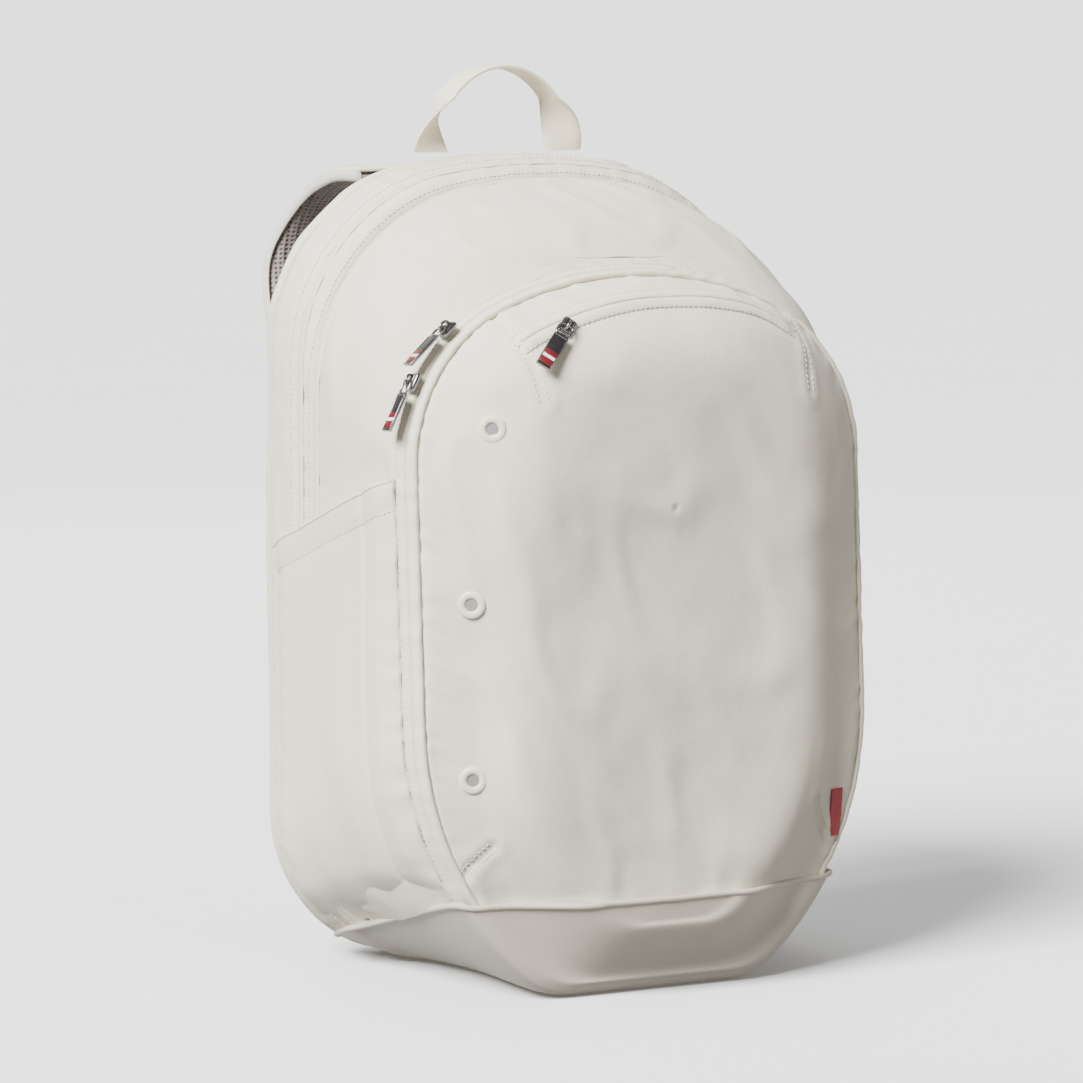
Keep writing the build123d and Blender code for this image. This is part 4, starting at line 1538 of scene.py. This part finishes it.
def boot():
    """Moulded boot: a tray up to the rim, with a thick rounded lip."""
    columns = 90
    outer = 2.6 * MM
    front_edge = band_section(BAND_DEPTH)
    sections = [upright(BACK_Y, grown(BACK_EDGE, outer * 0.1)),
                upright(SEAM_Y, grown(BACK_SEAM, outer * 0.25)),
                upright(RACKET_ZIP[0], grown(RACKET_LINE, outer * 0.7)),
                upright(MAIN_ZIP[0], grown(MAIN_LINE, outer)),
                upright(CHEST_Y, grown(CHEST, outer)),
                Section(Vector((0, POCKET_Y, 0)), POCKET_LEAN, grown(POCKET_LINE, outer)),
                Section(front_edge.origin, POCKET_LEAN, grown(front_edge.line, outer)),
                Section(SHOULDER_SECTION.origin, 0, grown(SHOULDER_SECTION.line, outer)),
                Section(Vector((0, FACE_Y - 2.2 * MM, 0)), 0, grown(FACE_SECTION.line, outer))]
    rows = [under_foot(section, columns) for section in sections]
    tail_pole = Vector((0, BACK_Y + 0.4 * MM, rim_height(BACK_Y)))
    nose_pole = Vector((0, FACE_Y - 4.5 * MM, RIM_Z))
    rear = [[tail_pole.lerp(p, share) for p in rows[0]] for share in (0.0, 0.6, 0.97)]
    nose = [[p.lerp(nose_pole, share) for p in rows[-1]] for share in (0.35, 0.7, 1.0)]
    grid = []
    stack = rear + rows + nose
    counts = [4, 4, 3, 3, 6, 6, 12, 14, 5, 6, 9, 6, 5, 5]
    for index, (a, b) in enumerate(zip(stack, stack[1:])):
        before, after = stack[max(index - 1, 0)], stack[min(index + 2, len(stack) - 1)]
        for step in range(counts[index]):
            share = step / counts[index]
            grid.append([catmull(knots, (1 + share) / 3) for knots in map(list, zip(before, a, b, after))])
    grid.append(stack[-1])
    for row in grid:
        for point in row:
            point.z = max(point.z, 0.3 * MM)
    grid = lifted(grid, lambda p, a, b: ripple(p, 70 * MM, 31) * 0.35 * MM * smooth(0, 20 * MM, p.z))
    tray = cloth_mesh("boot_tray", grid, 2.3 * MM, weld=0.02 * MM)
    finished(tray, "boot", "bag", ("boot",))
    line = [row[0] for row in grid[4:]]
    line = line + [Vector((-p.x, p.y, p.z)) for p in reversed(line[:-1])]
    out = []
    for index, point in enumerate(line):
        ahead = line[min(index + 1, len(line) - 1)] - line[max(index - 1, 0)]
        side = Vector((-ahead.y, ahead.x, 0)).normalized()
        outward = Vector((point.x, min(point.y + 60 * MM, 0), 0))
        out.append(side if side.dot(outward) >= 0 else -side)
    middle = [p - n * 0.5 * MM - UP * 1.0 * MM for p, n in zip(line, out)]
    lip = tube("boot_lip", middle, 1.9 * MM, 14, 1.0, out)
    finished(lip, "boot", "bag")
    low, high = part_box("base_board")
    board = block("base_board_cover", high - low, (low + high) / 2, 1.2 * MM)
    for vertex in board.data.vertices:
        share = (vertex.co.y - low.y) / (high.y - low.y)
        vertex.co.x *= 0.64 + 0.36 * share
    finished(board, "sheet", "bag", ("base_board",))


# ------------------------------------------------------------------ webbing and straps

def strip(name, points, widths, width, thick, rounding=0.35):
    """Flat webbing along points; widths are the directions across it."""
    outline = []
    for k in range(16):
        angle = -2 * pi * (k + 0.5) / 16
        c, s = cos(angle), sin(angle)
        outline.append((abs(c) ** 0.25 * (1 if c > 0 else -1) * width / 2,
                        abs(s) ** rounding * (1 if s > 0 else -1) * thick / 2))
    grid = []
    for index, point in enumerate(points):
        run = (points[min(index + 1, len(points) - 1)] - points[max(index - 1, 0)]).normalized()
        across = (widths[index] - run * widths[index].dot(run)).normalized()
        up = run.cross(across)
        grid.append([point + across * a + up * b for a, b in outline])
    piece = cloth_mesh(name, grid, closed=True)
    layer = piece.data.uv_layers["Cloth"].data
    lengths = steps_along(points)
    for loop in piece.data.loops:
        row, k = divmod(loop.vertex_index, 16)
        layer[loop.index].uv = (outline[k][0] + width / 2, lengths[row])
    work = bmesh.new()
    work.from_mesh(piece.data)
    work.verts.ensure_lookup_table()
    work.faces.new([work.verts[k] for k in range(16)])
    work.faces.new([work.verts[(len(points) - 1) * 16 + k] for k in range(16)])
    bmesh.ops.recalc_face_normals(work, faces=work.faces)
    work.to_mesh(piece.data)
    work.free()
    return piece


def handle():
    """Grab loop of webbing that turns edge-on at its top."""
    low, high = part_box("handle")
    span = 96 * MM
    rise = 54 * MM
    foot = low.z
    points, widths = [], []
    for step in range(65):
        angle = pi - pi * step / 64
        run = Vector((span / 2 * sin(angle), 0, -rise * cos(angle))).normalized()
        across = Vector((0, 1, 0)).cross(run)
        twist = radians(90) * min(1.0, 1.6 * sin(angle))
        points.append(Vector((span / 2 * cos(angle), (low.y + high.y) / 2, foot + rise * sin(angle))))
        widths.append(across * cos(twist) + Vector((0, 1, 0)) * sin(twist))
    piece = strip("grab_handle", points, widths, 25 * MM, 2.4 * MM)
    finished(piece, "webbing", "handle_loop", ("handle",))


STRAP_PATH = [Vector((0, y, z)) * MM for y, z in (
    (104, 496), (142, 494), (176, 480), (197, 452), (198, 420), (180, 378), (158, 328), (141, 272),
    (129, 215), (122, 168))]
STRAP_CENTRES = ((150, 96), (240, 95), (310, 92), (380, 88), (440, 84), (485, 68), (520, 58))


def strap_course(side):
    """Middle line of a strap, with its outward direction at each point."""
    dense = resampled([catmull(STRAP_PATH, i / 200) for i in range(201)], 120)
    points = []
    for p in dense:
        x = profile(STRAP_CENTRES, p.z * 1000) * MM
        points.append(Vector((side * x, p.y, p.z)))
    for _ in range(12):
        points = [points[0]] + [Vector(((a.x + b.x * 2 + c.x) / 4, b.y, b.z))
                                for a, b, c in zip(points, points[1:], points[2:])] + [points[-1]]
    outs = []
    for index in range(len(dense)):
        run = (dense[min(index + 1, len(dense) - 1)] - dense[max(index - 1, 0)]).normalized()
        out = Vector((0, -run.z, run.y))
        if out.y < 0 and index > 20:
            out = -out
        outs.append(out)
    if outs[0].z < 0:
        outs[0] = -outs[0]
    for index in range(1, len(outs)):
        if outs[index].dot(outs[index - 1]) < 0:
            outs[index] = -outs[index]
    return points, outs


def strap_layer(name, side, half, low, high, bulge_low, bulge_high, seed, crease):
    """One closed layer of a strap between two heights over its middle line."""
    points, outs = strap_course(side)
    grid = []
    steps = 18
    lengths = steps_along(points)
    for index, point in enumerate(points):
        far = min(lengths[index], lengths[-1] - lengths[index])
        end = min(1, sqrt(far / (9 * MM)) * 0.75 + 0.25)
        out = outs[index]
        row = []
        for sign in (1, -1):
            for k in range(steps):
                w = -1 + 2 * k / steps if sign > 0 else 1 - 2 * k / steps
                round_off = (1 - abs(w) ** 5) ** 0.5
                rolled = 2.0 * MM * (1 - round_off)
                if sign > 0:
                    level = high + bulge_high * round_off - rolled * (bulge_high > 0)
                else:
                    level = low - bulge_low * round_off + rolled * (bulge_low > 0)
                p = point + Vector((w * half, 0, 0))
                level += ripple(p, 26 * MM, seed) * crease * round_off
                mean = (low + high) / 2
                row.append(p + out * (mean + (level - mean) * end))
        grid.append(row)
    check = normals_of(grid, True)[60][steps // 2]
    if check.dot(outs[60]) < 0:
        grid.reverse()
    piece = cloth_mesh(name, grid, closed=True)
    work = bmesh.new()
    work.from_mesh(piece.data)
    work.verts.ensure_lookup_table()
    count = 2 * steps
    work.faces.new([work.verts[k] for k in range(count)])
    work.faces.new([work.verts[(len(points) - 1) * count + k] for k in range(count)])
    bmesh.ops.recalc_face_normals(work, faces=work.faces)
    work.to_mesh(piece.data)
    work.free()
    layer = piece.data.uv_layers["Cloth"].data
    for loop in piece.data.loops:
        co = piece.data.vertices[loop.vertex_index].co
        row = loop.vertex_index // count
        layer[loop.index].uv = (co.x, lengths[min(row, len(lengths) - 1)])
    return piece


def shoulder_straps():
    """Padded straps: woven outer face, spacer mesh inside and a binding round the edge."""
    for side, tag in ((-1, "left"), (1, "right")):
        body = "strap_" + tag
        half = 33 * MM
        shell = strap_layer("strap_outer_" + tag, side, half, 0.8 * MM, 4.2 * MM, 0, 2.0 * MM, 40, 0.8 * MM)
        finished(shell, "shell", body, ("strap_shell_" + tag,))
        inner = strap_layer("strap_inner_" + tag, side, half - 1.5 * MM, -4.4 * MM, 0.8 * MM,
                            1.6 * MM, 0, 41, 0.5 * MM)
        finished(inner, "mesh", body, ("strap_mesh_" + tag,))
        points, outs = strap_course(side)
        path, normals = [], []
        for sign in (-1, 1):
            order = range(len(points)) if sign < 0 else reversed(range(len(points)))
            for index in order:
                across = Vector((sign * (half - 0.8 * MM), 0, 0))
                path.append(points[index] + across - outs[index] * 1.2 * MM)
                normals.append(outs[index])
        edge = tube("strap_edge_" + tag, path, 1.9 * MM, 10, 1.9, normals)
        finished(edge, "binding", body, ("strap_binding_" + tag,))
        for sign in (-1, 1):
            line = [p + Vector((sign * (half - 6 * MM), 0, 0)) + o * 5.7 * MM for p, o in zip(points, outs)]
            edge = "in" if sign < 0 else "out"
            row = stitches(f"strap_stitching_{tag}_{edge}", line, outs, 3.6 * MM, 2.6 * MM, 0.3 * MM)
            finished(row, "thread", body)


# Courses in millimetres: lower webbing (x, y, z), corners of the sewn-in tab (x, z).
LOWER_STRAP = ((131, 103.4, 58), (128, 104.6, 64), (118, 108, 88), (107, 112.3, 114),
               (98, 116, 136), (96.5, 118.4, 145), (96, 121.5, 150.5))
ANCHOR_TAB = ((153, 94), (146, 58), (118, 48), (111, 72))
# Keeper loop seen from the side, (y, z) in metres.
KEEPER = ((0.1195, 0.180), (0.1188, 0.172), (0.1178, 0.165), (0.1180, 0.1605), (0.1205, 0.1583),
          (0.1232, 0.1598), (0.1245, 0.165), (0.1255, 0.172), (0.1262, 0.180))


def strap_webbing():
    """Lower webbing through each buckle, its tail, the sewn-in tab and the keeper loop."""
    for side, tag in ((-1, "left"), (1, "right")):
        line = [Vector((side * x, y, z)) * MM for x, y, z in LOWER_STRAP]
        dense = [catmull(line, i / 40) for i in range(41)]
        turned = Vector((0.93, 0, side * 0.37))
        across = [turned.lerp(Vector((1, 0, 0)), smooth(0.6, 1, i / 40)) for i in range(41)]
        lower = strip("lower_strap_" + tag, dense, across, 25 * MM, 2 * MM)
        finished(lower, "webbing", None, ("lower_webbing_" + tag,))
        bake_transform(lower)
        low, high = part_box("webbing_tail_" + tag)
        x, y = (low.x + high.x) / 2, (low.y + high.y) / 2
        drop = []
        for i in range(33):
            z = high.z - (high.z - low.z) * i / 32
            drop.append(Vector((x, y + sin(i / 32 * 5) * 0.8 * MM, z)))
        top = [Vector((x, y - 3.0 * MM, high.z + 9.5 * MM)),
               Vector((x, y - 0.4 * MM, high.z + 8 * MM)),
               Vector((x, y + 0.1 * MM, high.z + 4 * MM))]
        tail = strip("strap_tail_" + tag, top + drop, [Vector((1, 0, 0))] * 36, 25 * MM, 2 * MM)
        finished(tail, "webbing", "tail_" + tag, ("webbing_tail_" + tag,))
        loop_line = [Vector((x, deep, high)) for deep, high in KEEPER]
        dense = [catmull(loop_line, i / 30) for i in range(31)]
        keeper = strip("keeper_loop_" + tag, dense, [Vector((1, 0, 0))] * 31, 24 * MM, 1.6 * MM)
        finished(keeper, "webbing", "strap_" + tag)
        tab_points = [Vector((side * px, 0, pz)) * MM for px, pz in ANCHOR_TAB]
        grid = []
        for i in range(15):
            row = []
            for j in range(15):
                u, v = i / 14, j / 14
                p = tab_points[0].lerp(tab_points[1], u).lerp(tab_points[3].lerp(tab_points[2], u), v)
                edge = min(u, 1 - u, v, 1 - v)
                p.y = 100.1 * MM + 2.5 * MM * min(1, sqrt(edge * 10))
                row.append(p)
            grid.append(row)
        if normals_of(grid)[7][7].y < 0:
            grid = [list(reversed(row)) for row in grid]
        tab = cloth_mesh("anchor_tab_cover_" + tag, grid, 1.8 * MM)
        finished(tab, "shell", "bag", ("anchor_tab_" + tag,))
        low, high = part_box("ladder_lock_" + tag)
        bars = []
        mid = (low + high) / 2
        for index, (dz, tall) in enumerate(((-11, 3.4), (0, 4.4), (11, 3.4))):
            bars.append(block(f"bar_{tag}_{index}", (34 * MM, 4.4 * MM, tall * MM),
                              mid + Vector((0, 0, dz * MM)), 1.2 * MM))
        for index, dx in enumerate((-15, 15)):
            bars.append(block(f"cheek_{tag}_{index}", (4 * MM, 4.6 * MM, 25 * MM),
                              mid + Vector((dx * MM, 0, 0)), 1.4 * MM))
        lock = joined("buckle_" + tag, *bars)
        finished(lock, "plastic", "lock_" + tag, ("ladder_lock_" + tag,))


# ------------------------------------------------------------------ zip sliders

# Each slider's place in millimetres, the way its pull lies, and the way out of the cloth.
SLIDERS = {
    "pocket_upper": ((-124.6, -72.02, 407.0), (-0.743, -0.041, -0.668), (-0.669, 0.045, 0.742)),
    "pocket_lower": ((-148.12, -73.86, 376.96), (-0.469, -0.054, -0.881), (-0.883, 0.029, 0.469)),
    "top_pocket": ((-66, -110, 409.8), (-0.663, -0.269, -0.699), (-0.143, -0.871, 0.470)),
    "main_upper": ((159.67, 35, 391.5), (0.225, 0, -0.974), (0.974, 0, 0.225)),
    "main_lower": ((163, 35, 345), (0, 0, -1), (1, 0, 0)),
    "racket_upper": ((161.37, 54, 405.92), (0.225, 0, -0.974), (0.974, 0, 0.225)),
    "racket_lower": ((164.5, 54, 360), (0, 0, -1), (1, 0, 0)),
}


# Arch over the top of a slider, (x, z).
BAIL = ((-3.4, 4.2), (-3.3, 6.0), (-2.4, 7.2), (0, 7.7), (2.4, 7.2), (3.3, 6.0), (3.4, 4.2))
PULL_X = 21.6   # middle of a pull, along its zip from the slider's middle
PULL_Z = 5.75   # height at which links and pulls lie over the tape


def zip_pulls():
    """Cast sliders, their rings, and flat pulls with bright edges and stripes."""
    for name, (origin, along, out) in SLIDERS.items():
        matrix = plane_matrix(Vector(origin) * MM, along, out)
        body = block("body", (12 * MM, 9 * MM, 3.6 * MM), (0, 0, 2.4 * MM), 1.7 * MM, 4)
        crown = block("crown", (9 * MM, 6 * MM, 1.2 * MM), (0, 0, 4.4 * MM), 0.55 * MM, 3)
        arch = [Vector((x, 0, z)) * MM for x, z in BAIL]
        bail = tube("bail", arch, 0.95 * MM, 10, 1.0, [Vector((0, 1, 0))] * len(arch))
        casting = joined(name + "_casting", body, crown, bail)
        seat(casting, matrix)
        moves = name + "_zip"
        flips = name + "_tab"
        finished(casting, "metal", moves, (name + "_slider",))
        loop = []
        for k in range(49):
            c, s = cos(2 * pi * k / 48), sin(2 * pi * k / 48)
            loop.append(Vector((5 + 4.3 * (abs(c) ** 0.6) * (1 if c > 0 else -1),
                                4.6 * (abs(s) ** 0.6) * (1 if s > 0 else -1), PULL_Z)) * MM)
        ring = tube(name + "_link", loop, 0.8 * MM, 10)
        seat(ring, matrix)
        ring_nodes = (name + "_ring",) if name + "_ring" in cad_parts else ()
        plate = block("plate", (24 * MM, 9.2 * MM, 1.7 * MM), (PULL_X * MM, 0, PULL_Z * MM), 0.5 * MM)
        edges = [block(f"edge_{sign}", (24.4 * MM, 0.9 * MM, 2.2 * MM),
                       (PULL_X * MM, sign * 4.5 * MM, PULL_Z * MM), 0.35 * MM, 2) for sign in (-1, 1)]
        ends = [block(f"end_{sign}", (1.4 * MM, 9.4 * MM, 2.2 * MM),
                      (PULL_X * MM + sign * 11.8 * MM, 0, PULL_Z * MM), 0.4 * MM, 2) for sign in (-1, 1)]
        hook = block("hook", (2.4 * MM, 4 * MM, 2.2 * MM), (9.4 * MM, 0, PULL_Z * MM), 0.6 * MM, 2)
        trim = joined(name + "_pull_trim", *edges, *ends, hook)
        finished(seat(trim, matrix), "metal", flips)
        finished(ring, "metal", flips, ring_nodes)
        plate = seat(joined(name + "_pull_plate", plate), matrix)
        finished(plate, "dark", flips, (name + "_pull",))
        stripes = []
        for offset, long, colour in ((2.0, 3.4, "red"), (4.9, 2.2, "pale"), (8.2, 4.2, "red")):
            stripe = block(f"stripe_{colour}", (long * MM, 8.2 * MM, 2.0 * MM),
                           ((PULL_X + offset) * MM, 0, PULL_Z * MM), 0.2 * MM, 2)
            stripes.append(stripe)
        red = joined(name + "_red_stripes", stripes[0], stripes[2])
        finished(seat(red, matrix), "red", flips)
        pale = joined(name + "_pale_stripe", stripes[1])
        finished(seat(pale, matrix), "pale", flips)


def side_label():
    """Plain folded label caught in the seam low on the right of the front."""
    tree = surface_tree()
    low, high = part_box("side_label")
    grid = []
    for i in range(21):
        row = []
        for j in range(9):
            u, v = i / 20, j / 8
            x = low.x + (high.x - low.x) * v
            z = high.z - (high.z - low.z) * u
            hit, normal = tree.find_nearest(Vector((x, low.y + (high.y - low.y) * v, z)))[:2]
            row.append(hit + normal * (0.9 * MM + 0.3 * MM * sin(u * 7)))
        grid.append(row)
    if normals_of(grid)[10][4].y > 0:
        grid = [list(reversed(row)) for row in grid]
    piece = cloth_mesh("red_label", grid, 0.9 * MM)
    finished(piece, "label", "bag", ("side_label",))


# ------------------------------------------------------------------ stage

def stage():
    """Pale floor, soft lights and the camera."""
    select_none()
    reach = 400
    corners = [[Vector((x, y, 0)) for x in (-reach, 0, reach)] for y in (reach, 0, -reach)]
    floor = cloth_mesh("studio_floor", corners)
    shader = Shader("studio_paper")
    cloud = shader.noise(3, 2)
    base = shader.mix(cloud, (0.93, 0.93, 0.93, 1), (0.96, 0.96, 0.96, 1))
    floor.data.materials.append(shader.set(Base_Color=base, Roughness=0.7))
    floor.visible_diffuse = False
    key = bpy.data.lights.new("key", "SUN")
    key.energy = 12
    key.angle = radians(30)
    key.color = (1.0, 0.995, 0.985)
    lamps = [("key", key, (-2.3, -0.95, 2.3))]
    for name, place, size, power, colour in (
            ("warm", (2.2, -2.4, 1.0), 1.2, 10, (1.0, 0.94, 0.86)),
            ("top", (0.2, 0.5, 2.8), 1.2, 18, (1, 1, 1)),
            ("rear", (0.8, 2.6, 1.6), 1.6, 16, (1, 1, 1))):
        soft = bpy.data.lights.new(name, "AREA")
        soft.shape = "SQUARE"
        soft.size = size
        soft.energy = power
        soft.color = colour
        lamps.append((name, soft, place))
    for name, light, place in lamps:
        lamp = bpy.data.objects.new("light_" + name, light)
        bpy.context.scene.collection.objects.link(lamp)
        lamp.location = place
        lamp.rotation_euler = (Vector((0, 0, 0.25)) - Vector(place)).to_track_quat("-Z", "Y").to_euler()
    world = bpy.data.worlds.new("studio")
    world.use_nodes = True
    world.node_tree.nodes["Background"].inputs["Color"].default_value = (0.97, 0.98, 1.0, 1)
    world.node_tree.nodes["Background"].inputs["Strength"].default_value = 0.32
    bpy.context.scene.world = world
    lens = bpy.data.cameras.new("camera")
    lens.lens = 175.8
    lens.sensor_width = 36
    lens.dof.use_dof = False
    camera = bpy.data.objects.new("camera", lens)
    bpy.context.scene.collection.objects.link(camera)
    camera.location = (-1.594, -2.882, 0.614)
    camera.rotation_euler = Vector((0.4761, 0.8732, -0.1045)).to_track_quat("-Z", "Y").to_euler()
    bpy.context.scene.camera = camera


# ------------------------------------------------------------------ settings and buttons

class BackpackLooks(bpy.types.PropertyGroup):
    """Colours of the bag's materials."""
    shell: FloatVectorProperty(
        name="Shell cloth", description="Outer cloth",
        subtype="COLOR", default=(0.78, 0.72, 0.585))
    tape: FloatVectorProperty(
        name="Zip tape", description="Coated zip tape",
        subtype="COLOR", default=(0.76, 0.705, 0.575))
    lining: FloatVectorProperty(
        name="Lining", description="Cloth inside the bag",
        subtype="COLOR", default=(0.20, 0.195, 0.19))
    binding: FloatVectorProperty(
        name="Binding", description="Strap edge binding",
        subtype="COLOR", default=(0.72, 0.68, 0.61))
    webbing: FloatVectorProperty(
        name="Webbing", description="Handle and strap webbing",
        subtype="COLOR", default=(0.90, 0.82, 0.65))
    mesh: FloatVectorProperty(
        name="Spacer mesh", description="Mesh on straps and back pads",
        subtype="COLOR", default=(0.27, 0.23, 0.215))
    boot: FloatVectorProperty(
        name="Boot", description="Moulded base",
        subtype="COLOR", default=(0.50, 0.45, 0.37))
    screen: FloatVectorProperty(
        name="Screen", description="Mesh behind the eyelets",
        subtype="COLOR", default=(0.26, 0.255, 0.25))
    accent: FloatVectorProperty(
        name="Accent", description="Label and pull stripes",
        subtype="COLOR", default=(0.30, 0.012, 0.02))


class BackpackCloth(bpy.types.PropertyGroup):
    """How the cloth lies."""
    crease: FloatProperty(
        name="Creasing", description="Depth of sags and gathers against the drawn ones",
        default=1.0, min=0.0, max=3.0)
    pressure: FloatProperty(
        name="Stuffing", description="Pressure that fills the front in its simulation",
        default=3.0, min=0.0, max=20.0)
    reach: FloatProperty(
        name="Reach", description="Farthest the simulation may move the cloth",
        subtype="DISTANCE", unit="LENGTH", default=0.006, min=0.0, max=0.02)


class BACKPACK_OT_back(bpy.types.Operator):
    """Padded back panel with its quilted lines."""
    bl_idname = "backpack.back"
    bl_label = "Back Panel"
    bl_options = {"REGISTER", "UNDO"}

    def execute(self, context):
        back_panel()
        back_pads()
        return {"FINISHED"}


class BACKPACK_OT_racket_compartment(bpy.types.Operator):
    """Wall and zip of the racket compartment behind the main one."""
    bl_idname = "backpack.racket_compartment"
    bl_label = "Racket Compartment"
    bl_options = {"REGISTER", "UNDO"}

    def execute(self, context):
        racket_compartment()
        return {"FINISHED"}


class BACKPACK_OT_middle_wall(bpy.types.Operator):
    """Narrow wall between the two long zips, with the rear half of the main zip."""
    bl_idname = "backpack.middle_wall"
    bl_label = "Middle Wall"
    bl_options = {"REGISTER", "UNDO"}

    def execute(self, context):
        middle_wall()
        return {"FINISHED"}


class BACKPACK_OT_main_compartment(bpy.types.Operator):
    """Wall of the main compartment below the fold of its cap."""
    bl_idname = "backpack.main_compartment"
    bl_label = "Main Compartment"
    bl_options = {"REGISTER", "UNDO"}

    def execute(self, context):
        main_compartment()
        hidden_gusset()
        main_cap()
        front_half_of_main_zip()
        return {"FINISHED"}


class BACKPACK_OT_pocket_band(bpy.types.Operator):
    """Zip band round the front pocket: rear tape, front tape, teeth between them and piping."""
    bl_idname = "backpack.pocket_band"
    bl_label = "Pocket Band"
    bl_options = {"REGISTER", "UNDO"}

    def execute(self, context):
        pocket_band()
        return {"FINISHED"}


class BACKPACK_OT_front(bpy.types.Operator):
    """Front of the bag with its darts, from the piping down to the boot."""
    bl_idname = "backpack.front"
    bl_label = "Front Cover"
    bl_options = {"REGISTER", "UNDO"}

    def execute(self, context):
        front_cover()
        dart_stitching()
        return {"FINISHED"}


class BACKPACK_OT_top_pocket(bpy.types.Operator):
    """Lipped zip of the small pocket across the top of the front."""
    bl_idname = "backpack.top_pocket"
    bl_label = "Top Pocket"
    bl_options = {"REGISTER", "UNDO"}

    def execute(self, context):
        top_pocket()
        top_pouch()
        return {"FINISHED"}


class BACKPACK_OT_linings(bpy.types.Operator):
    """Sheets inside the bag: the wall behind the front pocket and the divider."""
    bl_idname = "backpack.linings"
    bl_label = "Linings"
    bl_options = {"REGISTER", "UNDO"}

    def execute(self, context):
        linings()
        return {"FINISHED"}


class BACKPACK_OT_eyelets(bpy.types.Operator):
    """Three rubber-coated eyelets down the left of the front, with mesh behind the holes."""
    bl_idname = "backpack.eyelets"
    bl_label = "Eyelets"
    bl_options = {"REGISTER", "UNDO"}

    def execute(self, context):
        eyelets()
        return {"FINISHED"}


class BACKPACK_OT_side_pockets(bpy.types.Operator):
    """Slack pockets low on each side, open along a sloping elastic hem."""
    bl_idname = "backpack.side_pockets"
    bl_label = "Side Pockets"
    bl_options = {"REGISTER", "UNDO"}

    def execute(self, context):
        side_pockets()
        return {"FINISHED"}


class BACKPACK_OT_boot(bpy.types.Operator):
    """Moulded boot: a tray up to the rim, with a thick rounded lip."""
    bl_idname = "backpack.boot"
    bl_label = "Boot"
    bl_options = {"REGISTER", "UNDO"}

    def execute(self, context):
        boot()
        return {"FINISHED"}


class BACKPACK_OT_handle(bpy.types.Operator):
    """Grab loop of webbing that turns edge-on at its top."""
    bl_idname = "backpack.handle"
    bl_label = "Grab Handle"
    bl_options = {"REGISTER", "UNDO"}

    def execute(self, context):
        handle()
        return {"FINISHED"}


class BACKPACK_OT_straps(bpy.types.Operator):
    """Padded straps: woven outer face, spacer mesh inside and a binding round the edge."""
    bl_idname = "backpack.straps"
    bl_label = "Shoulder Straps"
    bl_options = {"REGISTER", "UNDO"}

    def execute(self, context):
        shoulder_straps()
        return {"FINISHED"}


class BACKPACK_OT_strap_webbing(bpy.types.Operator):
    """Lower webbing through each buckle, its tail, the sewn-in tab and the keeper loop."""
    bl_idname = "backpack.strap_webbing"
    bl_label = "Strap Webbing"
    bl_options = {"REGISTER", "UNDO"}

    def execute(self, context):
        strap_webbing()
        return {"FINISHED"}


class BACKPACK_OT_zip_pulls(bpy.types.Operator):
    """Cast sliders, their rings, and flat pulls with bright edges and stripes."""
    bl_idname = "backpack.zip_pulls"
    bl_label = "Zip Pulls"
    bl_options = {"REGISTER", "UNDO"}

    def execute(self, context):
        zip_pulls()
        return {"FINISHED"}


class BACKPACK_OT_side_label(bpy.types.Operator):
    """Plain folded label caught in the seam low on the right of the front."""
    bl_idname = "backpack.side_label"
    bl_label = "Side Label"
    bl_options = {"REGISTER", "UNDO"}

    def execute(self, context):
        side_label()
        return {"FINISHED"}


class BACKPACK_OT_stage(bpy.types.Operator):
    """Pale floor, soft lights and the camera."""
    bl_idname = "backpack.stage"
    bl_label = "Stage"
    bl_options = {"REGISTER", "UNDO"}

    def execute(self, context):
        stage()
        return {"FINISHED"}


OPERATORS = [
    BACKPACK_OT_back,
    BACKPACK_OT_racket_compartment,
    BACKPACK_OT_middle_wall,
    BACKPACK_OT_main_compartment,
    BACKPACK_OT_pocket_band,
    BACKPACK_OT_front,
    BACKPACK_OT_top_pocket,
    BACKPACK_OT_linings,
    BACKPACK_OT_eyelets,
    BACKPACK_OT_side_pockets,
    BACKPACK_OT_boot,
    BACKPACK_OT_handle,
    BACKPACK_OT_straps,
    BACKPACK_OT_strap_webbing,
    BACKPACK_OT_zip_pulls,
    BACKPACK_OT_side_label,
    BACKPACK_OT_stage,
]


class BACKPACK_PT_panel(bpy.types.Panel):
    """Buttons that make the bag's pieces."""
    bl_label = "Racket Backpack"
    bl_idname = "BACKPACK_PT_panel"
    bl_space_type = "VIEW_3D"
    bl_region_type = "UI"
    bl_category = "Backpack"

    def draw(self, context):
        for group in (context.scene.backpack_looks, context.scene.backpack_cloth):
            for name in group.bl_rna.properties.keys():
                if name not in ("rna_type", "name"):
                    self.layout.prop(group, name)
        for made in OPERATORS:
            self.layout.operator(made.bl_idname)


CLASSES = [BackpackLooks, BackpackCloth] + OPERATORS + [BACKPACK_PT_panel]


def register():
    for made in CLASSES:
        bpy.utils.register_class(made)
    bpy.types.Scene.backpack_looks = PointerProperty(type=BackpackLooks)
    bpy.types.Scene.backpack_cloth = PointerProperty(type=BackpackCloth)


def unregister():
    del bpy.types.Scene.backpack_cloth
    del bpy.types.Scene.backpack_looks
    for made in reversed(CLASSES):
        bpy.utils.unregister_class(made)


def main():
    register()
    for made in OPERATORS:
        identity = made.bl_idname.split(".")[1]
        getattr(bpy.ops.backpack, identity)()


if __name__ == "__main__":
    main()
